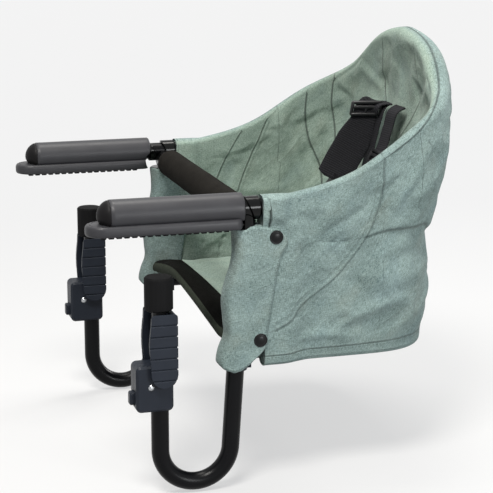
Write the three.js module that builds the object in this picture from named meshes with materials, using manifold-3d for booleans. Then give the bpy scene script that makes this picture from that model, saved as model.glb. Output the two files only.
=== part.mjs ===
// Hook-on table chair: two arms over the table top, two jack clamps below it, a fabric bucket seat behind.
// Millimetres, +Z up. Z = 0 is the table top, Y = 0 the table edge, X = 0 the middle; the sitter faces -Y.

import * as THREE from 'three';
import { mergeVertices } from 'three/addons/utils/BufferGeometryUtils.js';
import Module from 'manifold-3d';

const wasm = await Module();
wasm.setup();

// Fits shared by every piece
const seamGap = 0.3;
const slideFit = 0.3;
const tubeSides = 14;
const roundSides = 20;
const hoopSides = 8;
const pinSides = 12;
const cutOver = 2;
const cutReach = 300;

// Frame tube and spacing
const halfSpan = 195;
const tubeRadius = 10;
const tubeWall = 1.5;
const tableThickness = 48.6;

// Arms over the table
const armAxisZ = 22;
const armTubeFront = -135;
const armTubeRear = 64;
const armDrawnOut = { left: 0, right: 14.6 };
const gripRadius = 17.5;
const gripFront = -134;
const gripRear = 14;
const gripNose = 13;
const noseTurns = [0.55, 1.45];
const noseSteps = 5;
const gripSkirtZ = 9;
const flangeHalfWidth = 20;
const flangeTip = -160;
const flangeRear = 8;
const flangeThickness = 10.5;
const flangeEdge = 2.6;
const padThickness = 4;
const padHalfWidth = 18;
const padFront = -146;
const toothPitch = 8.5;
const toothCount = 17;
const toothLand = 5.2;
const toothDepth = 2.5;
const toothSlant = 1.2;

// Mitred collar behind each grip
const collarRadius = 13;
const collarRear = 33;
const mitreY = 21.2;
const mitreSlope = 0.44;

// Cross bar and its foam
const crossbarY = 20;
const crossbarZ = 11.3;
const crossSocketRadius = 12.5;
const crossSocketLength = 45;
const crossSocketInner = halfSpan - crossSocketLength;
const crossSocketSeat = 21;
const crossSocketOuter = halfSpan - crossSocketSeat;
const socketDepth = 18;
const foamRadius = 15.2;
const foamSoft = 4;

// Leg tube: leaning upright, U-bend, straight front leg
const legTopZ = -4;
const legLean = 0.065;
const legBendZ = -250.6;
const legBendY = 0.95;
const clampY = -80.2;
const legFrontTop = -186;
const bendSteps = 9;
const legSocketRadius = 13;
const legSocketBottom = -34;

// Clamp housing
const housingFront = -109.7;
const housingRear = -67.6;
const housingTop = -145.6;
const housingBottom = -198.5;
const housingHalfWidth = 15;
const housingCorner = 6;
const housingEdge = 2.5;
const housingWall = 3.4;
const chamberHalfWidth = 8.2;
const chamberTop = -150;

// Jack column and pad
const columnRadius = 8;
const columnBottom = -222;
const columnTop = -54;
const rackPitch = 8;
const rackStart = -212;
const rackCount = 12;
const rackDepth = 1.8;
const rackNotch = 4.4;
const padRadius = 16;
const padBottom = -86;
const padEdge = 1.6;

// Lever on the housing's trunnions
const leverPivotY = -79;
const leverPivotZ = -155;
const leverEnd = 12.8;
const leverTop = -89;
const leverFront = -95.5;
const leverFrontTop = -93;
const leverBellyZ = -122;
const leverCorner = 4;
const leverFrontCorner = 3;
const leverSweep = 13;
const leverInner = 17;
const leverPlate = 3;
const leverWebBottom = -136;
const leverSkin = 2.2;
const trunnionRadius = 4;
const ribPitch = 12.5;
const ribCount = 6;
const ribStart = 0.8;
const ribDepth = 1.2;
const driveToothHeight = 6;
const driveToothHalfWidth = 6;

// Holding pawl, its pin and the release button
const pawlPinY = -93;
const pawlPinZ = -170;
const pawlPinRadius = 2;
const pawlHeadRadius = 3.5;
const pawlHeadHeight = 1.6;
const pawlHalfWidth = 4;
const pawlClear = 0.5;
const pawlBack = 4;
const pawlTail = 15.4;
const pawlTop = 14.5;
const pawlTip = [10.5, 12.4];
const pawlBelly = [[-0.5, -pawlTail], [0.2, -6], [3.2, -3.4], [3.6, 2], [2.2, 8.5]];
const pawlCrown = 1.5;
const headDome = 0.4;
const springRadius = 2.6;
const springWire = 0.5;
const springTurns = 3;
const springZ = -159;
const buttonZ = -184;
const buttonHalfWidth = 5.5;
const buttonHalfHeight = 7.6;
const buttonFront = -115;
const buttonCorner = 3;
const buttonEdge = 1.2;
const buttonFlange = 1.6;
const buttonStemRadius = 2.5;
const buttonStemGap = 0.7;

// Seat wall
const hemZ = -154;
const rimFrontZ = 36;
const rimRises = [[0, 0], [0.2, 19.7], [0.4, 63], [0.6, 99.5], [0.8, 144], [1, 159]];
const hemInset = 7;
const hemHalfWidth = halfSpan - hemInset;
const rimOutset = 1;
const rimHalfWidth = halfSpan + rimOutset;
const sideBulge = 3.4;
const hemBack = 254.5;
const backLeans = [[0, 0], [0.2, -0.7], [0.4, 1], [0.6, 18.2], [0.8, 32.6], [0.93, 30.3], [1, 27.5]];
const wallFront = 70;
const cornerStart = 135;
const wallStraight = 0.28;
const hemPower = 4;
const rimPower = 3.45;
const sideThickness = 14;
const backThickness = 28;
const thickenFrom = 0.45;
const thickenRun = 0.35;
const wallClimb = [[0, 0.55], [0.06, 0.9], [0.3, 1], [0.6, 1], [0.82, 1], [0.94, 0.95], [0.985, 0.6]];
const panelSplit = 0.52;
const panelGap = 0.0006;
const hoopLevel = 0.93;
const hoopRadius = 4;
const hoopSocketRadius = 7.5;
const hoopSocketEnd = 42;
const hoopSocketZ = -14;
const hoopLeadBack = 16;
const hoopLeadRise = 10;
const hoopStart = 0.02;
const hoopSteps = 30;

// Seat base
const baseHoopRadius = 7;
const baseHoopLift = 4;
const baseHoopZ = hemZ + baseHoopLift;
const hoopInset = 21;
const baseHoopHalf = halfSpan - hoopInset;
const hoopBackInset = 21;
const baseHoopBack = hemBack - hoopBackInset;
const baseHoopFront = 12;
const bracketRadius = 12.6;
const bracketRise = 6.6;
const bracketDrop = 11;
const bracketTop = baseHoopZ + bracketRise;
const bracketBottom = baseHoopZ - bracketDrop;
const bracketLip = 3;
const lugFront = 10;
const lugRear = 18;
const bracketSocketDepth = 40;
const boardLip = 4;
const boardHalfWidth = baseHoopHalf + boardLip;
const boardFront = 36;
const boardBackLip = 4;
const boardBack = baseHoopBack + boardBackLip;
const boardThickness = 4;
const baseCorner = 22;
const frontSteps = 10;
const cushionFront = -3;
const cushionLip = 2.5;
const cushionHalfWidth = boardHalfWidth + cushionLip;
const cushionBackLip = 1;
const cushionBack = boardBack + cushionBackLip;
const cushionHeight = 13;
const cushionCrown = 11;
const lipRise = 34;
const lipBow = 12;
const lipRun = 36;
const lipPower = 1.3;

// Sleeves round the legs
const sleeveHalf = 13.5;
const sleeveDrop = 10;
const sleeveBottom = hemZ - sleeveDrop;
const sleeveTop = -2;
const sleeveFoot = [[0, -7, 20], [5, -12, 26], [9.4, -14.5, 32]];
const sleeveFront = [[-154, -15], [-136, -12], [-123, -6], [-100, -8], [-79, -10], [-56, -4], [-46, 0.5],
  [sleeveTop, 0.5]];
const sleeveNose = 9;
const sleeveHem = 3;
const rollRadius = 15.5;
const snapRadius = 7;
const snapHeight = 3;
const snapSpots = { upper: [50, -10], lower: [32, -126] };

// Harness
const webWidth = 30;
const webThickness = 2.4;
const webSteps = 10;
const waistWidth = 24;
const shoulderU = 0.47;
const shoulderLevel = 0.74;
const waistU = 0.335;
const waistLevel = 0.2;
const sliderAt = 0.22;
const sliderWidth = 36;
const sliderLength = 22;
const sliderDepth = 5;
const sliderCorner = 4;
const crotchY = 160;
const buckleY = 172;
const buckleZ = -34;
const buckleWidth = 46;
const buckleHeight = 46;
const buckleDepth = 16;
const buckleCorner = 9;
const buckleEdge = 2;
const buckleButtonRadius = 9;
const buckleButtonProud = 1.5;
const buckleButtonDepth = 3;
const buckleWell = 6;
const tongueLength = 41;
const tongueWidth = 26;
const tongueThickness = 5;
const tongueCorner = 3;
const tongueSpread = 24;
const tongueBack = 31;
const tongueRise = 44;
const strapClear = 3.2;
const strapDrop = 0.06;
const strapLift = 9;
const strapDrift = 0.002;
const strapBends = [0.275, 0.7];
const waistSpread = 37;
const waistSlack = 0.65;
const waistSag = 18;
const waistLead = 8;
const waistOut = 16;
const waistClear = 1.4;
const crotchBow = 2;

// Material of one sub-part
function finish(color, roughness, metalness) {
  return new THREE.MeshStandardMaterial({ color, roughness, metalness });
}

const blackTube = () => finish(0x1c1d1f, 0.38, 0.35);
const grey = () => finish(0x3a3b3e, 0.5, 0);
const rubber = () => finish(0x1b1b1d, 0.85, 0);
const gloss = () => finish(0x0e0f11, 0.18, 0);
const shell = () => finish(0x22262d, 0.48, 0);
const steel = () => finish(0xa9acb0, 0.32, 1);
const foam = () => finish(0x1d1e20, 0.95, 0);
const cloth = () => finish(0x97a294, 0.95, 0);
const webbing = () => finish(0x141416, 0.85, 0);
const board = () => finish(0x2a2b2d, 0.8, 0);

function named(name, geometry, material) {
  const mesh = new THREE.Mesh(geometry, material);
  mesh.name = name;
  return mesh;
}

// Closed solid of a geometry, with shared corners merged and collapsed faces dropped
function solidOf(geometry) {
  const bare = geometry.clone();
  bare.deleteAttribute('normal');
  bare.deleteAttribute('uv');
  const merged = mergeVertices(bare, 1e-4);
  const index = merged.index.array;
  const kept = [];
  for (let i = 0; i < index.length; i += 3) {
    const [a, b, c] = [index[i], index[i + 1], index[i + 2]];
    if (a !== b && b !== c && c !== a) kept.push(a, b, c);
  }
  const mesh = new wasm.Mesh({
    numProp: 3,
    vertProperties: new Float32Array(merged.attributes.position.array),
    triVerts: new Uint32Array(kept),
  });
  mesh.merge();
  return new wasm.Manifold(mesh);
}

function geometryOf(solid) {
  const mesh = solid.getMesh();
  const geometry = new THREE.BufferGeometry();
  geometry.setAttribute('position', new THREE.BufferAttribute(new Float32Array(mesh.vertProperties), 3));
  geometry.setIndex(new THREE.BufferAttribute(new Uint32Array(mesh.triVerts), 1));
  geometry.computeVertexNormals();
  return geometry;
}

// Flat triangles across one closed ring of points
function capOf(ring) {
  const normal = new THREE.Vector3();
  ring.forEach((p, i) => {
    const q = ring[(i + 1) % ring.length];
    normal.x += (p.y - q.y) * (p.z + q.z);
    normal.y += (p.z - q.z) * (p.x + q.x);
    normal.z += (p.x - q.x) * (p.y + q.y);
  });
  normal.normalize();
  const side = Math.abs(normal.z) < 0.9 ? new THREE.Vector3(0, 0, 1) : new THREE.Vector3(1, 0, 0);
  const u = new THREE.Vector3().crossVectors(side, normal).normalize();
  const v = new THREE.Vector3().crossVectors(normal, u);
  const flat = ring.map((p) => new THREE.Vector2(p.dot(u), p.dot(v)));
  return THREE.ShapeUtils.triangulateShape(flat, []);
}

// Skin through a row of closed rings with equal point counts, capped at both ends
function loft(rings) {
  const count = rings[0].length;
  const position = rings.flat().flatMap((p) => [p.x, p.y, p.z]);
  const index = [];
  for (let r = 0; r + 1 < rings.length; r += 1) {
    for (let i = 0; i < count; i += 1) {
      const j = (i + 1) % count;
      const [a, b, c, d] = [r * count + i, r * count + j, (r + 1) * count + j, (r + 1) * count + i];
      index.push(a, b, c, a, c, d);
    }
  }
  const last = (rings.length - 1) * count;
  capOf(rings[0]).forEach(([a, b, c]) => index.push(c, b, a));
  capOf(rings[rings.length - 1]).forEach(([a, b, c]) => index.push(last + a, last + b, last + c));
  let volume = 0;
  const corner = (k) => new THREE.Vector3().fromArray(position, 3 * index[k]);
  for (let k = 0; k < index.length; k += 3) {
    volume += corner(k).dot(corner(k + 1).cross(corner(k + 2)));
  }
  if (volume < 0) index.reverse();
  const geometry = new THREE.BufferGeometry();
  geometry.setAttribute('position', new THREE.Float32BufferAttribute(position, 3));
  geometry.setIndex(index);
  geometry.computeVertexNormals();
  return geometry;
}

// Rings of a round pipe through stations, carried along without twist
function pipe(points, radius, sides = tubeSides) {
  const rings = [];
  let across = null;
  points.forEach((p, i) => {
    const ahead = points[Math.min(i + 1, points.length - 1)];
    const behind = points[Math.max(i - 1, 0)];
    const along = new THREE.Vector3().subVectors(ahead, behind).normalize();
    if (!across) across = Math.abs(along.x) < 0.9 ? new THREE.Vector3(1, 0, 0) : new THREE.Vector3(0, 0, 1);
    across = across.clone().addScaledVector(along, -across.dot(along)).normalize();
    const up = new THREE.Vector3().crossVectors(along, across);
    rings.push(Array.from({ length: sides }, (_, k) => {
      const turn = (2 * Math.PI * k) / sides;
      return p.clone().addScaledVector(across, radius * Math.cos(turn))
        .addScaledVector(up, radius * Math.sin(turn));
    }));
  });
  return loft(rings);
}

function cylinderX(radius, x0, x1, y, z, sides = tubeSides) {
  return new THREE.CylinderGeometry(radius, radius, x1 - x0, sides)
    .rotateZ(Math.PI / 2).translate((x0 + x1) / 2, y, z);
}

function cylinderY(radius, y0, y1, x, z, sides = tubeSides) {
  return new THREE.CylinderGeometry(radius, radius, y1 - y0, sides).translate(x, (y0 + y1) / 2, z);
}

function cylinderZ(radius, z0, z1, x, y, sides = tubeSides) {
  return new THREE.CylinderGeometry(radius, radius, z1 - z0, sides)
    .rotateX(Math.PI / 2).translate(x, y, (z0 + z1) / 2);
}

function boxOf(x0, x1, y0, y1, z0, z1) {
  return new THREE.BoxGeometry(x1 - x0, y1 - y0, z1 - z0)
    .translate((x0 + x1) / 2, (y0 + y1) / 2, (z0 + z1) / 2);
}

// Profile drawn as (Y, Z), thickened along X between two planes
function plateX(shape, x0, x1, bevel = 0) {
  const geometry = new THREE.ExtrudeGeometry(shape, {
    depth: x1 - x0 - 2 * bevel,
    bevelEnabled: bevel > 0,
    bevelSize: bevel,
    bevelThickness: bevel,
    bevelOffset: -bevel,
    bevelSegments: 1,
    curveSegments: 4,
  });
  const turn = new THREE.Matrix4().set(0, 0, 1, x0 + bevel, 1, 0, 0, 0, 0, 1, 0, 0, 0, 0, 0, 1);
  return geometry.applyMatrix4(turn);
}

function polygon(points) {
  return new THREE.Shape(points.map(([a, b]) => new THREE.Vector2(a, b)));
}

function roundedRect(a0, a1, b0, b1, r) {
  const shape = new THREE.Shape();
  shape.moveTo(a0 + r, b0);
  shape.lineTo(a1 - r, b0);
  shape.absarc(a1 - r, b0 + r, r, -Math.PI / 2, 0);
  shape.lineTo(a1, b1 - r);
  shape.absarc(a1 - r, b1 - r, r, 0, Math.PI / 2);
  shape.lineTo(a0 + r, b1);
  shape.absarc(a0 + r, b1 - r, r, Math.PI / 2, Math.PI);
  shape.lineTo(a0, b0 + r);
  shape.absarc(a0 + r, b0 + r, r, Math.PI, 1.5 * Math.PI);
  return shape;
}

const smooth = (t) => {
  const k = Math.min(1, Math.max(0, t));
  return k * k * (3 - 2 * k);
};

// Everything behind the mitre plane of the collar
function behindMitre(shift) {
  return new THREE.BoxGeometry(cutReach, cutReach, cutReach)
    .translate(0, cutReach / 2, 0)
    .rotateX(Math.atan(mitreSlope))
    .translate(halfSpan, mitreY + shift, armAxisZ);
}

// Arm tube, open along its length
function armTube() {
  const outer = solidOf(cylinderY(tubeRadius, armTubeFront, armTubeRear, halfSpan, armAxisZ));
  const bore = solidOf(cylinderY(tubeRadius - tubeWall, armTubeFront - cutOver, armTubeRear + cutOver,
    halfSpan, armAxisZ));
  return geometryOf(outer.subtract(bore));
}

// Half-round grip body with a creased nose, on a stadium flange, bored for the tube
function armGrip() {
  const arc = 10;
  const section = (y, scale) => {
    const half = gripRadius * scale;
    const ring = [new THREE.Vector3(halfSpan - half, y, gripSkirtZ)];
    for (let k = 0; k <= arc; k += 1) {
      const turn = Math.PI - (Math.PI * k) / arc;
      const rise = armAxisZ - gripSkirtZ + gripRadius * Math.sin(turn);
      ring.push(new THREE.Vector3(halfSpan + half * Math.cos(turn), y, gripSkirtZ + rise * scale));
    }
    ring.push(new THREE.Vector3(halfSpan + half, y, gripSkirtZ));
    return ring;
  };
  const [noseStart, noseEnd] = noseTurns;
  const rings = [section(gripRear, 1), section(gripFront, 1)];
  for (let k = 1; k <= noseSteps; k += 1) {
    const turn = noseStart + ((noseEnd - noseStart) * k) / noseSteps;
    const run = (Math.sin(turn) - Math.sin(noseStart)) / (1 - Math.sin(noseStart));
    rings.push(section(gripFront - gripNose * run, Math.cos(turn) / Math.cos(noseStart)));
  }
  const flangeBase = padThickness + seamGap;
  const layers = [[0, flangeEdge / 4], [flangeEdge / 4, 0], [flangeThickness * 0.55, 0],
    [flangeThickness * 0.82, flangeEdge * 0.6], [flangeThickness, flangeEdge * 2]];
  const flange = loft(layers.map(([lift, inset]) => stadium(flangeHalfWidth - inset, flangeTip + inset,
    flangeRear - inset, flangeBase + lift)));
  const bore = cylinderY(tubeRadius + slideFit, armTubeFront - slideFit, gripRear + cutOver,
    halfSpan, armAxisZ);
  return geometryOf(solidOf(loft(rings)).add(solidOf(flange)).subtract(solidOf(bore)));
}

function stadium(half, y0, y1, z) {
  const arc = 7;
  const ring = [];
  for (let k = 0; k <= arc; k += 1) {
    const turn = (Math.PI * k) / arc;
    ring.push(new THREE.Vector3(halfSpan + half * Math.cos(turn), y1 - half + half * Math.sin(turn), z));
  }
  for (let k = 0; k <= arc; k += 1) {
    const turn = Math.PI + (Math.PI * k) / arc;
    ring.push(new THREE.Vector3(halfSpan + half * Math.cos(turn), y0 + half + half * Math.sin(turn), z));
  }
  return ring;
}

// Serrated sole under the grip
function gripPad() {
  const outline = [[padFront, padThickness], [padFront, 0]];
  for (let k = 0; k < toothCount; k += 1) {
    const y = padFront + k * toothPitch;
    outline.push([y + toothLand, 0]);
    if (k + 1 < toothCount) {
      outline.push([y + toothLand + toothSlant, toothDepth]);
      outline.push([y + toothPitch, toothDepth]);
      outline.push([y + toothPitch + 0.01 * toothPitch, 0]);
    }
  }
  outline.push([padFront + (toothCount - 1) * toothPitch + toothLand, padThickness]);
  return plateX(polygon(outline), halfSpan - padHalfWidth, halfSpan + padHalfWidth);
}

// Moving half of the mitred collar
function armCollar() {
  const outer = solidOf(cylinderY(collarRadius, gripRear + seamGap, collarRear + cutOver,
    halfSpan, armAxisZ, roundSides));
  const bore = solidOf(cylinderY(tubeRadius + slideFit, gripRear - cutOver, collarRear + 2 * cutOver,
    halfSpan, armAxisZ, roundSides));
  return geometryOf(outer.subtract(bore).subtract(solidOf(behindMitre(-seamGap / 2))));
}

// Space that the arm takes up on its way in and out
function armSweep() {
  const collarPath = solidOf(cylinderY(collarRadius + slideFit, -cutReach, collarRear + cutOver,
    halfSpan, armAxisZ, roundSides)).subtract(solidOf(behindMitre(seamGap / 2)));
  const side = flangeHalfWidth + slideFit;
  const gripPath = boxOf(halfSpan - side, halfSpan + side, -cutReach, gripRear + slideFit, -seamGap, cutReach);
  return collarPath.add(solidOf(gripPath));
}

function legAxisY(z) {
  return legBendY + legLean * (z - legBendZ);
}

// Three-way corner: mitred barrel for the arm, socket for the cross bar, socket for the leg
function cornerJoint() {
  const barrel = solidOf(cylinderY(collarRadius, gripRear, collarRear, halfSpan, armAxisZ, roundSides));
  const side = solidOf(cylinderX(crossSocketRadius, crossSocketInner, halfSpan - collarRadius / 2,
    crossbarY, crossbarZ, roundSides));
  const foot = solidOf(cylinderZ(legSocketRadius, legSocketBottom, 0,
    halfSpan, legAxisY(legTopZ), roundSides));
  const gusset = solidOf(boxOf(halfSpan - legSocketRadius * 0.8, halfSpan + legSocketRadius * 0.8,
    gripRear + seamGap, collarRear, legSocketBottom / 3, armAxisZ));
  const plug = solidOf(cylinderY(hoopSocketRadius, legAxisY(legTopZ), hoopSocketEnd,
    halfSpan, hoopSocketZ));
  const arm = solidOf(cylinderY(tubeRadius + slideFit, gripRear - cutOver, collarRear + cutOver,
    halfSpan, armAxisZ));
  const bar = solidOf(cylinderX(tubeRadius + seamGap, crossSocketInner - cutOver,
    crossSocketInner + socketDepth, crossbarY, crossbarZ));
  const leg = solidOf(pipe(legStations(seamGap), tubeRadius + seamGap));
  const hoop = solidOf(pipe(rimHoopStations(), hoopRadius + seamGap, hoopSides));
  const blank = barrel.add(side).add(foot).add(gusset).add(plug);
  return geometryOf(blank.subtract(armSweep()).subtract(arm).subtract(bar).subtract(leg).subtract(hoop));
}

function crossbarTube() {
  const end = crossSocketInner + socketDepth - seamGap;
  const outer = solidOf(cylinderX(tubeRadius, -end, end, crossbarY, crossbarZ));
  const bore = solidOf(cylinderX(tubeRadius - tubeWall, -end - cutOver, end + cutOver,
    crossbarY, crossbarZ));
  return geometryOf(outer.subtract(bore));
}

// Foam sleeve with softly rounded ends
function crossbarFoam() {
  const end = crossSocketInner - seamGap;
  const soft = foamSoft;
  const inner = tubeRadius + seamGap;
  const profile = [[inner, -end], [foamRadius - soft, -end], [foamRadius - soft * 0.3, -end + soft * 0.3],
    [foamRadius, -end + soft], [foamRadius, end - soft], [foamRadius - soft * 0.3, end - soft * 0.3],
    [foamRadius - soft, end], [inner, end], [inner, -end]];
  return new THREE.LatheGeometry(profile.map(([r, x]) => new THREE.Vector2(r, x)), roundSides)
    .rotateZ(-Math.PI / 2).translate(0, crossbarY, crossbarZ);
}

// Centre line of a leg tube, from its top round the bend to the front leg's top
function legStations(extra = 0) {
  const fall = new THREE.Vector2(-legLean, -1).normalize();
  const inward = new THREE.Vector2(fall.y, -fall.x);
  const radius = (legBendY - clampY) / (1 - inward.x);
  const centreY = legBendY + radius * inward.x;
  const centreZ = legBendZ + radius * inward.y;
  const start = Math.atan2(-inward.y, -inward.x);
  const turn = Math.PI + start;
  const stations = [new THREE.Vector3(halfSpan, legAxisY(legTopZ + extra), legTopZ + extra)];
  for (let k = 0; k <= bendSteps; k += 1) {
    const angle = start - (turn * k) / bendSteps;
    stations.push(new THREE.Vector3(halfSpan, centreY + radius * Math.cos(angle),
      centreZ + radius * Math.sin(angle)));
  }
  stations.push(new THREE.Vector3(halfSpan, clampY, legFrontTop + extra));
  return stations;
}

function legTube() {
  const outer = solidOf(pipe(legStations(), tubeRadius));
  const bore = solidOf(pipe(legStations(cutOver), tubeRadius - tubeWall));
  return geometryOf(outer.subtract(bore));
}

// One half of the clamp housing, with its trunnion for the lever
function housingHalf(outward) {
  const outline = roundedRect(housingFront, housingRear, housingBottom, housingTop, housingCorner);
  const block = solidOf(plateX(outline, halfSpan - housingHalfWidth, halfSpan + housingHalfWidth, housingEdge));
  const bossEnd = leverInner + leverPlate - seamGap;
  const bossStart = housingHalfWidth - housingWall;
  const boss = solidOf(cylinderX(trunnionRadius, halfSpan + outward * (outward > 0 ? bossStart : bossEnd),
    halfSpan + outward * (outward > 0 ? bossEnd : bossStart), leverPivotY, leverPivotZ));
  const inside = outward > 0
    ? boxOf(halfSpan + seamGap / 2, halfSpan + cutReach, -cutReach, cutReach, -cutReach, cutReach)
    : boxOf(halfSpan - cutReach, halfSpan - seamGap / 2, -cutReach, cutReach, -cutReach, cutReach);
  const bore = cylinderZ(columnRadius + slideFit, housingBottom - cutOver, housingTop + cutOver,
    halfSpan, clampY);
  const tube = cylinderZ(tubeRadius + seamGap, housingBottom - cutOver, legFrontTop + seamGap,
    halfSpan, clampY);
  const chamber = boxOf(halfSpan - chamberHalfWidth, halfSpan + chamberHalfWidth,
    housingFront + housingWall, clampY - columnRadius / 2, housingBottom + housingWall - seamGap, chamberTop);
  const window = boxOf(halfSpan - buttonHalfWidth - slideFit, halfSpan + buttonHalfWidth + slideFit,
    housingFront - cutOver, housingFront + housingWall + cutOver,
    buttonZ - buttonHalfHeight - slideFit, buttonZ + buttonHalfHeight + slideFit);
  const pin = cylinderX(pawlPinRadius + slideFit, halfSpan - cutReach, halfSpan + cutReach,
    pawlPinY, pawlPinZ, pinSides);
  return geometryOf(block.add(boss).intersect(solidOf(inside)).subtract(solidOf(bore))
    .subtract(solidOf(tube)).subtract(solidOf(chamber)).subtract(solidOf(window)).subtract(solidOf(pin)));
}

// Jack column with rack notches front and back
function column() {
  let bar = solidOf(cylinderZ(columnRadius, columnBottom, columnTop, halfSpan, clampY));
  for (let k = 0; k < rackCount; k += 1) {
    const z = rackStart + k * rackPitch;
    const front = boxOf(halfSpan - columnRadius, halfSpan + columnRadius, clampY - columnRadius - cutOver,
      clampY - columnRadius + rackDepth, z, z + rackNotch);
    const back = boxOf(halfSpan - columnRadius, halfSpan + columnRadius, clampY + columnRadius - rackDepth,
      clampY + columnRadius + cutOver, z, z + rackNotch);
    bar = bar.subtract(solidOf(front)).subtract(solidOf(back));
  }
  return geometryOf(bar);
}

// Rubber head that presses on the underside of the table
function clampPad() {
  const socket = columnRadius + seamGap;
  const profile = [[0, columnTop + seamGap], [socket, columnTop + seamGap], [socket, padBottom],
    [padRadius - padEdge, padBottom], [padRadius, padBottom + padEdge],
    [padRadius, -tableThickness - padEdge], [padRadius - padEdge, -tableThickness], [0, -tableThickness]];
  return new THREE.LatheGeometry(profile.map(([r, z]) => new THREE.Vector2(r, z)), roundSides)
    .rotateX(Math.PI / 2).translate(halfSpan, clampY, 0);
}

// Side outline of the lever, grown at the rear, foot and top
function leverOutline(grow) {
  const end = leverEnd + grow;
  const rear = leverPivotY + end;
  const top = leverTop + grow;
  const shape = new THREE.Shape();
  shape.moveTo(rear, top - leverCorner);
  shape.lineTo(rear, leverPivotZ);
  shape.absarc(leverPivotY, leverPivotZ, end, 0, -Math.PI, true);
  shape.bezierCurveTo(leverPivotY - end, leverPivotZ + leverSweep, leverFront, leverBellyZ - leverSweep,
    leverFront, leverBellyZ);
  shape.bezierCurveTo(leverFront, leverBellyZ + leverSweep, leverFrontTop, top - leverSweep,
    leverFrontTop, top - leverFrontCorner);
  shape.quadraticCurveTo(leverFrontTop, top, leverFrontTop + leverCorner, top);
  shape.lineTo(rear - leverCorner, top);
  shape.quadraticCurveTo(rear, top, rear, top - leverCorner);
  return shape;
}

// Stiff channel of the lever: two cheeks, a back web and the tooth that lifts the column
function leverCore() {
  const outer = leverInner + leverPlate;
  const webInner = leverPivotY + leverEnd - leverPlate;
  const body = solidOf(plateX(leverOutline(0), halfSpan - outer, halfSpan + outer));
  const channel = boxOf(halfSpan - leverInner, halfSpan + leverInner, -cutReach, webInner, -cutReach, cutReach);
  const under = boxOf(halfSpan - leverInner, halfSpan + leverInner, webInner - cutOver, cutReach,
    -cutReach, leverWebBottom);
  const tooth = boxOf(halfSpan - driveToothHalfWidth, halfSpan + driveToothHalfWidth,
    clampY + columnRadius + slideFit, webInner + leverPlate / 2,
    leverWebBottom, leverWebBottom + driveToothHeight);
  const holes = cylinderX(trunnionRadius + slideFit, halfSpan - cutReach, halfSpan + cutReach,
    leverPivotY, leverPivotZ);
  return geometryOf(body.subtract(solidOf(channel)).subtract(solidOf(under)).add(solidOf(tooth))
    .subtract(solidOf(holes)));
}

// Ribbed rubber skin over the lever's cheeks and back
function leverSkinPiece() {
  const outer = leverInner + leverPlate + leverSkin;
  const inner = leverInner + leverPlate + seamGap;
  let skin = solidOf(plateX(leverOutline(leverSkin), halfSpan - outer, halfSpan + outer));
  const rear = leverPivotY + leverEnd;
  const hollow = solidOf(plateX(leverOutline(seamGap), halfSpan - inner, halfSpan + inner));
  const throat = solidOf(boxOf(halfSpan - inner, halfSpan + inner, -cutReach, rear - cutOver,
    -cutReach, cutReach));
  const lower = solidOf(boxOf(halfSpan - inner, halfSpan + inner, -cutReach, cutReach,
    -cutReach, leverWebBottom));
  const crown = solidOf(boxOf(halfSpan - inner, halfSpan + inner, -cutReach, cutReach,
    leverTop - seamGap, cutReach));
  skin = skin.subtract(hollow).subtract(throat).subtract(lower).subtract(crown);
  const grooveSides = 4;
  for (let k = 0; k < ribCount; k += 1) {
    const z = leverTop - ribPitch * (k + ribStart);
    const back = cylinderX(ribDepth, halfSpan - outer - cutOver, halfSpan + outer + cutOver,
      rear + leverSkin, z, grooveSides);
    const end = rear + 2 * leverSkin;
    const near = cylinderY(ribDepth, leverFront - cutOver, end, halfSpan + outer, z, grooveSides);
    const far = cylinderY(ribDepth, leverFront - cutOver, end, halfSpan - outer, z, grooveSides);
    skin = skin.subtract(solidOf(back)).subtract(solidOf(near)).subtract(solidOf(far));
  }
  return geometryOf(skin);
}

// Holding pawl beside the rack
function pawl() {
  const tip = clampY - columnRadius - pawlClear - pawlPinY;
  const outline = [[-pawlBack, -pawlTail], ...pawlBelly, ...pawlTip.map((rise) => [tip, rise]),
    [pawlCrown, pawlTop], [-pawlBack, pawlTop]];
  const plate = solidOf(plateX(polygon(outline.map(([y, z]) => [pawlPinY + y, pawlPinZ + z])),
    halfSpan - pawlHalfWidth, halfSpan + pawlHalfWidth));
  const bore = cylinderX(pawlPinRadius + slideFit, halfSpan - housingHalfWidth, halfSpan + housingHalfWidth,
    pawlPinY, pawlPinZ, pinSides);
  return geometryOf(plate.subtract(solidOf(bore)));
}

// Riveted pin that the pawl turns on
function pawlPin() {
  const face = housingHalfWidth + seamGap;
  const crown = face + pawlHeadHeight;
  const shoulder = pawlHeadRadius * 0.6;
  const profile = [[0, -crown], [shoulder, -crown + headDome], [pawlHeadRadius, -face], [pawlPinRadius, -face],
    [pawlPinRadius, face], [pawlHeadRadius, face], [shoulder, crown - headDome], [0, crown]];
  return new THREE.LatheGeometry(profile.map(([r, x]) => new THREE.Vector2(r, x)), pinSides)
    .rotateZ(-Math.PI / 2).translate(halfSpan, pawlPinY, pawlPinZ);
}

// Spring that keeps the pawl on the rack and the button out
function pawlSpring() {
  const start = housingFront + housingWall + seamGap + springWire;
  const end = pawlPinY - pawlBack - seamGap - springWire;
  const steps = springTurns * 8;
  const points = Array.from({ length: steps + 1 }, (_, k) => {
    const turn = (2 * Math.PI * k) / 8;
    return new THREE.Vector3(halfSpan + springRadius * Math.cos(turn), start + ((end - start) * k) / steps,
      springZ + springRadius * Math.sin(turn));
  });
  return pipe(points, springWire, 5);
}

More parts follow.
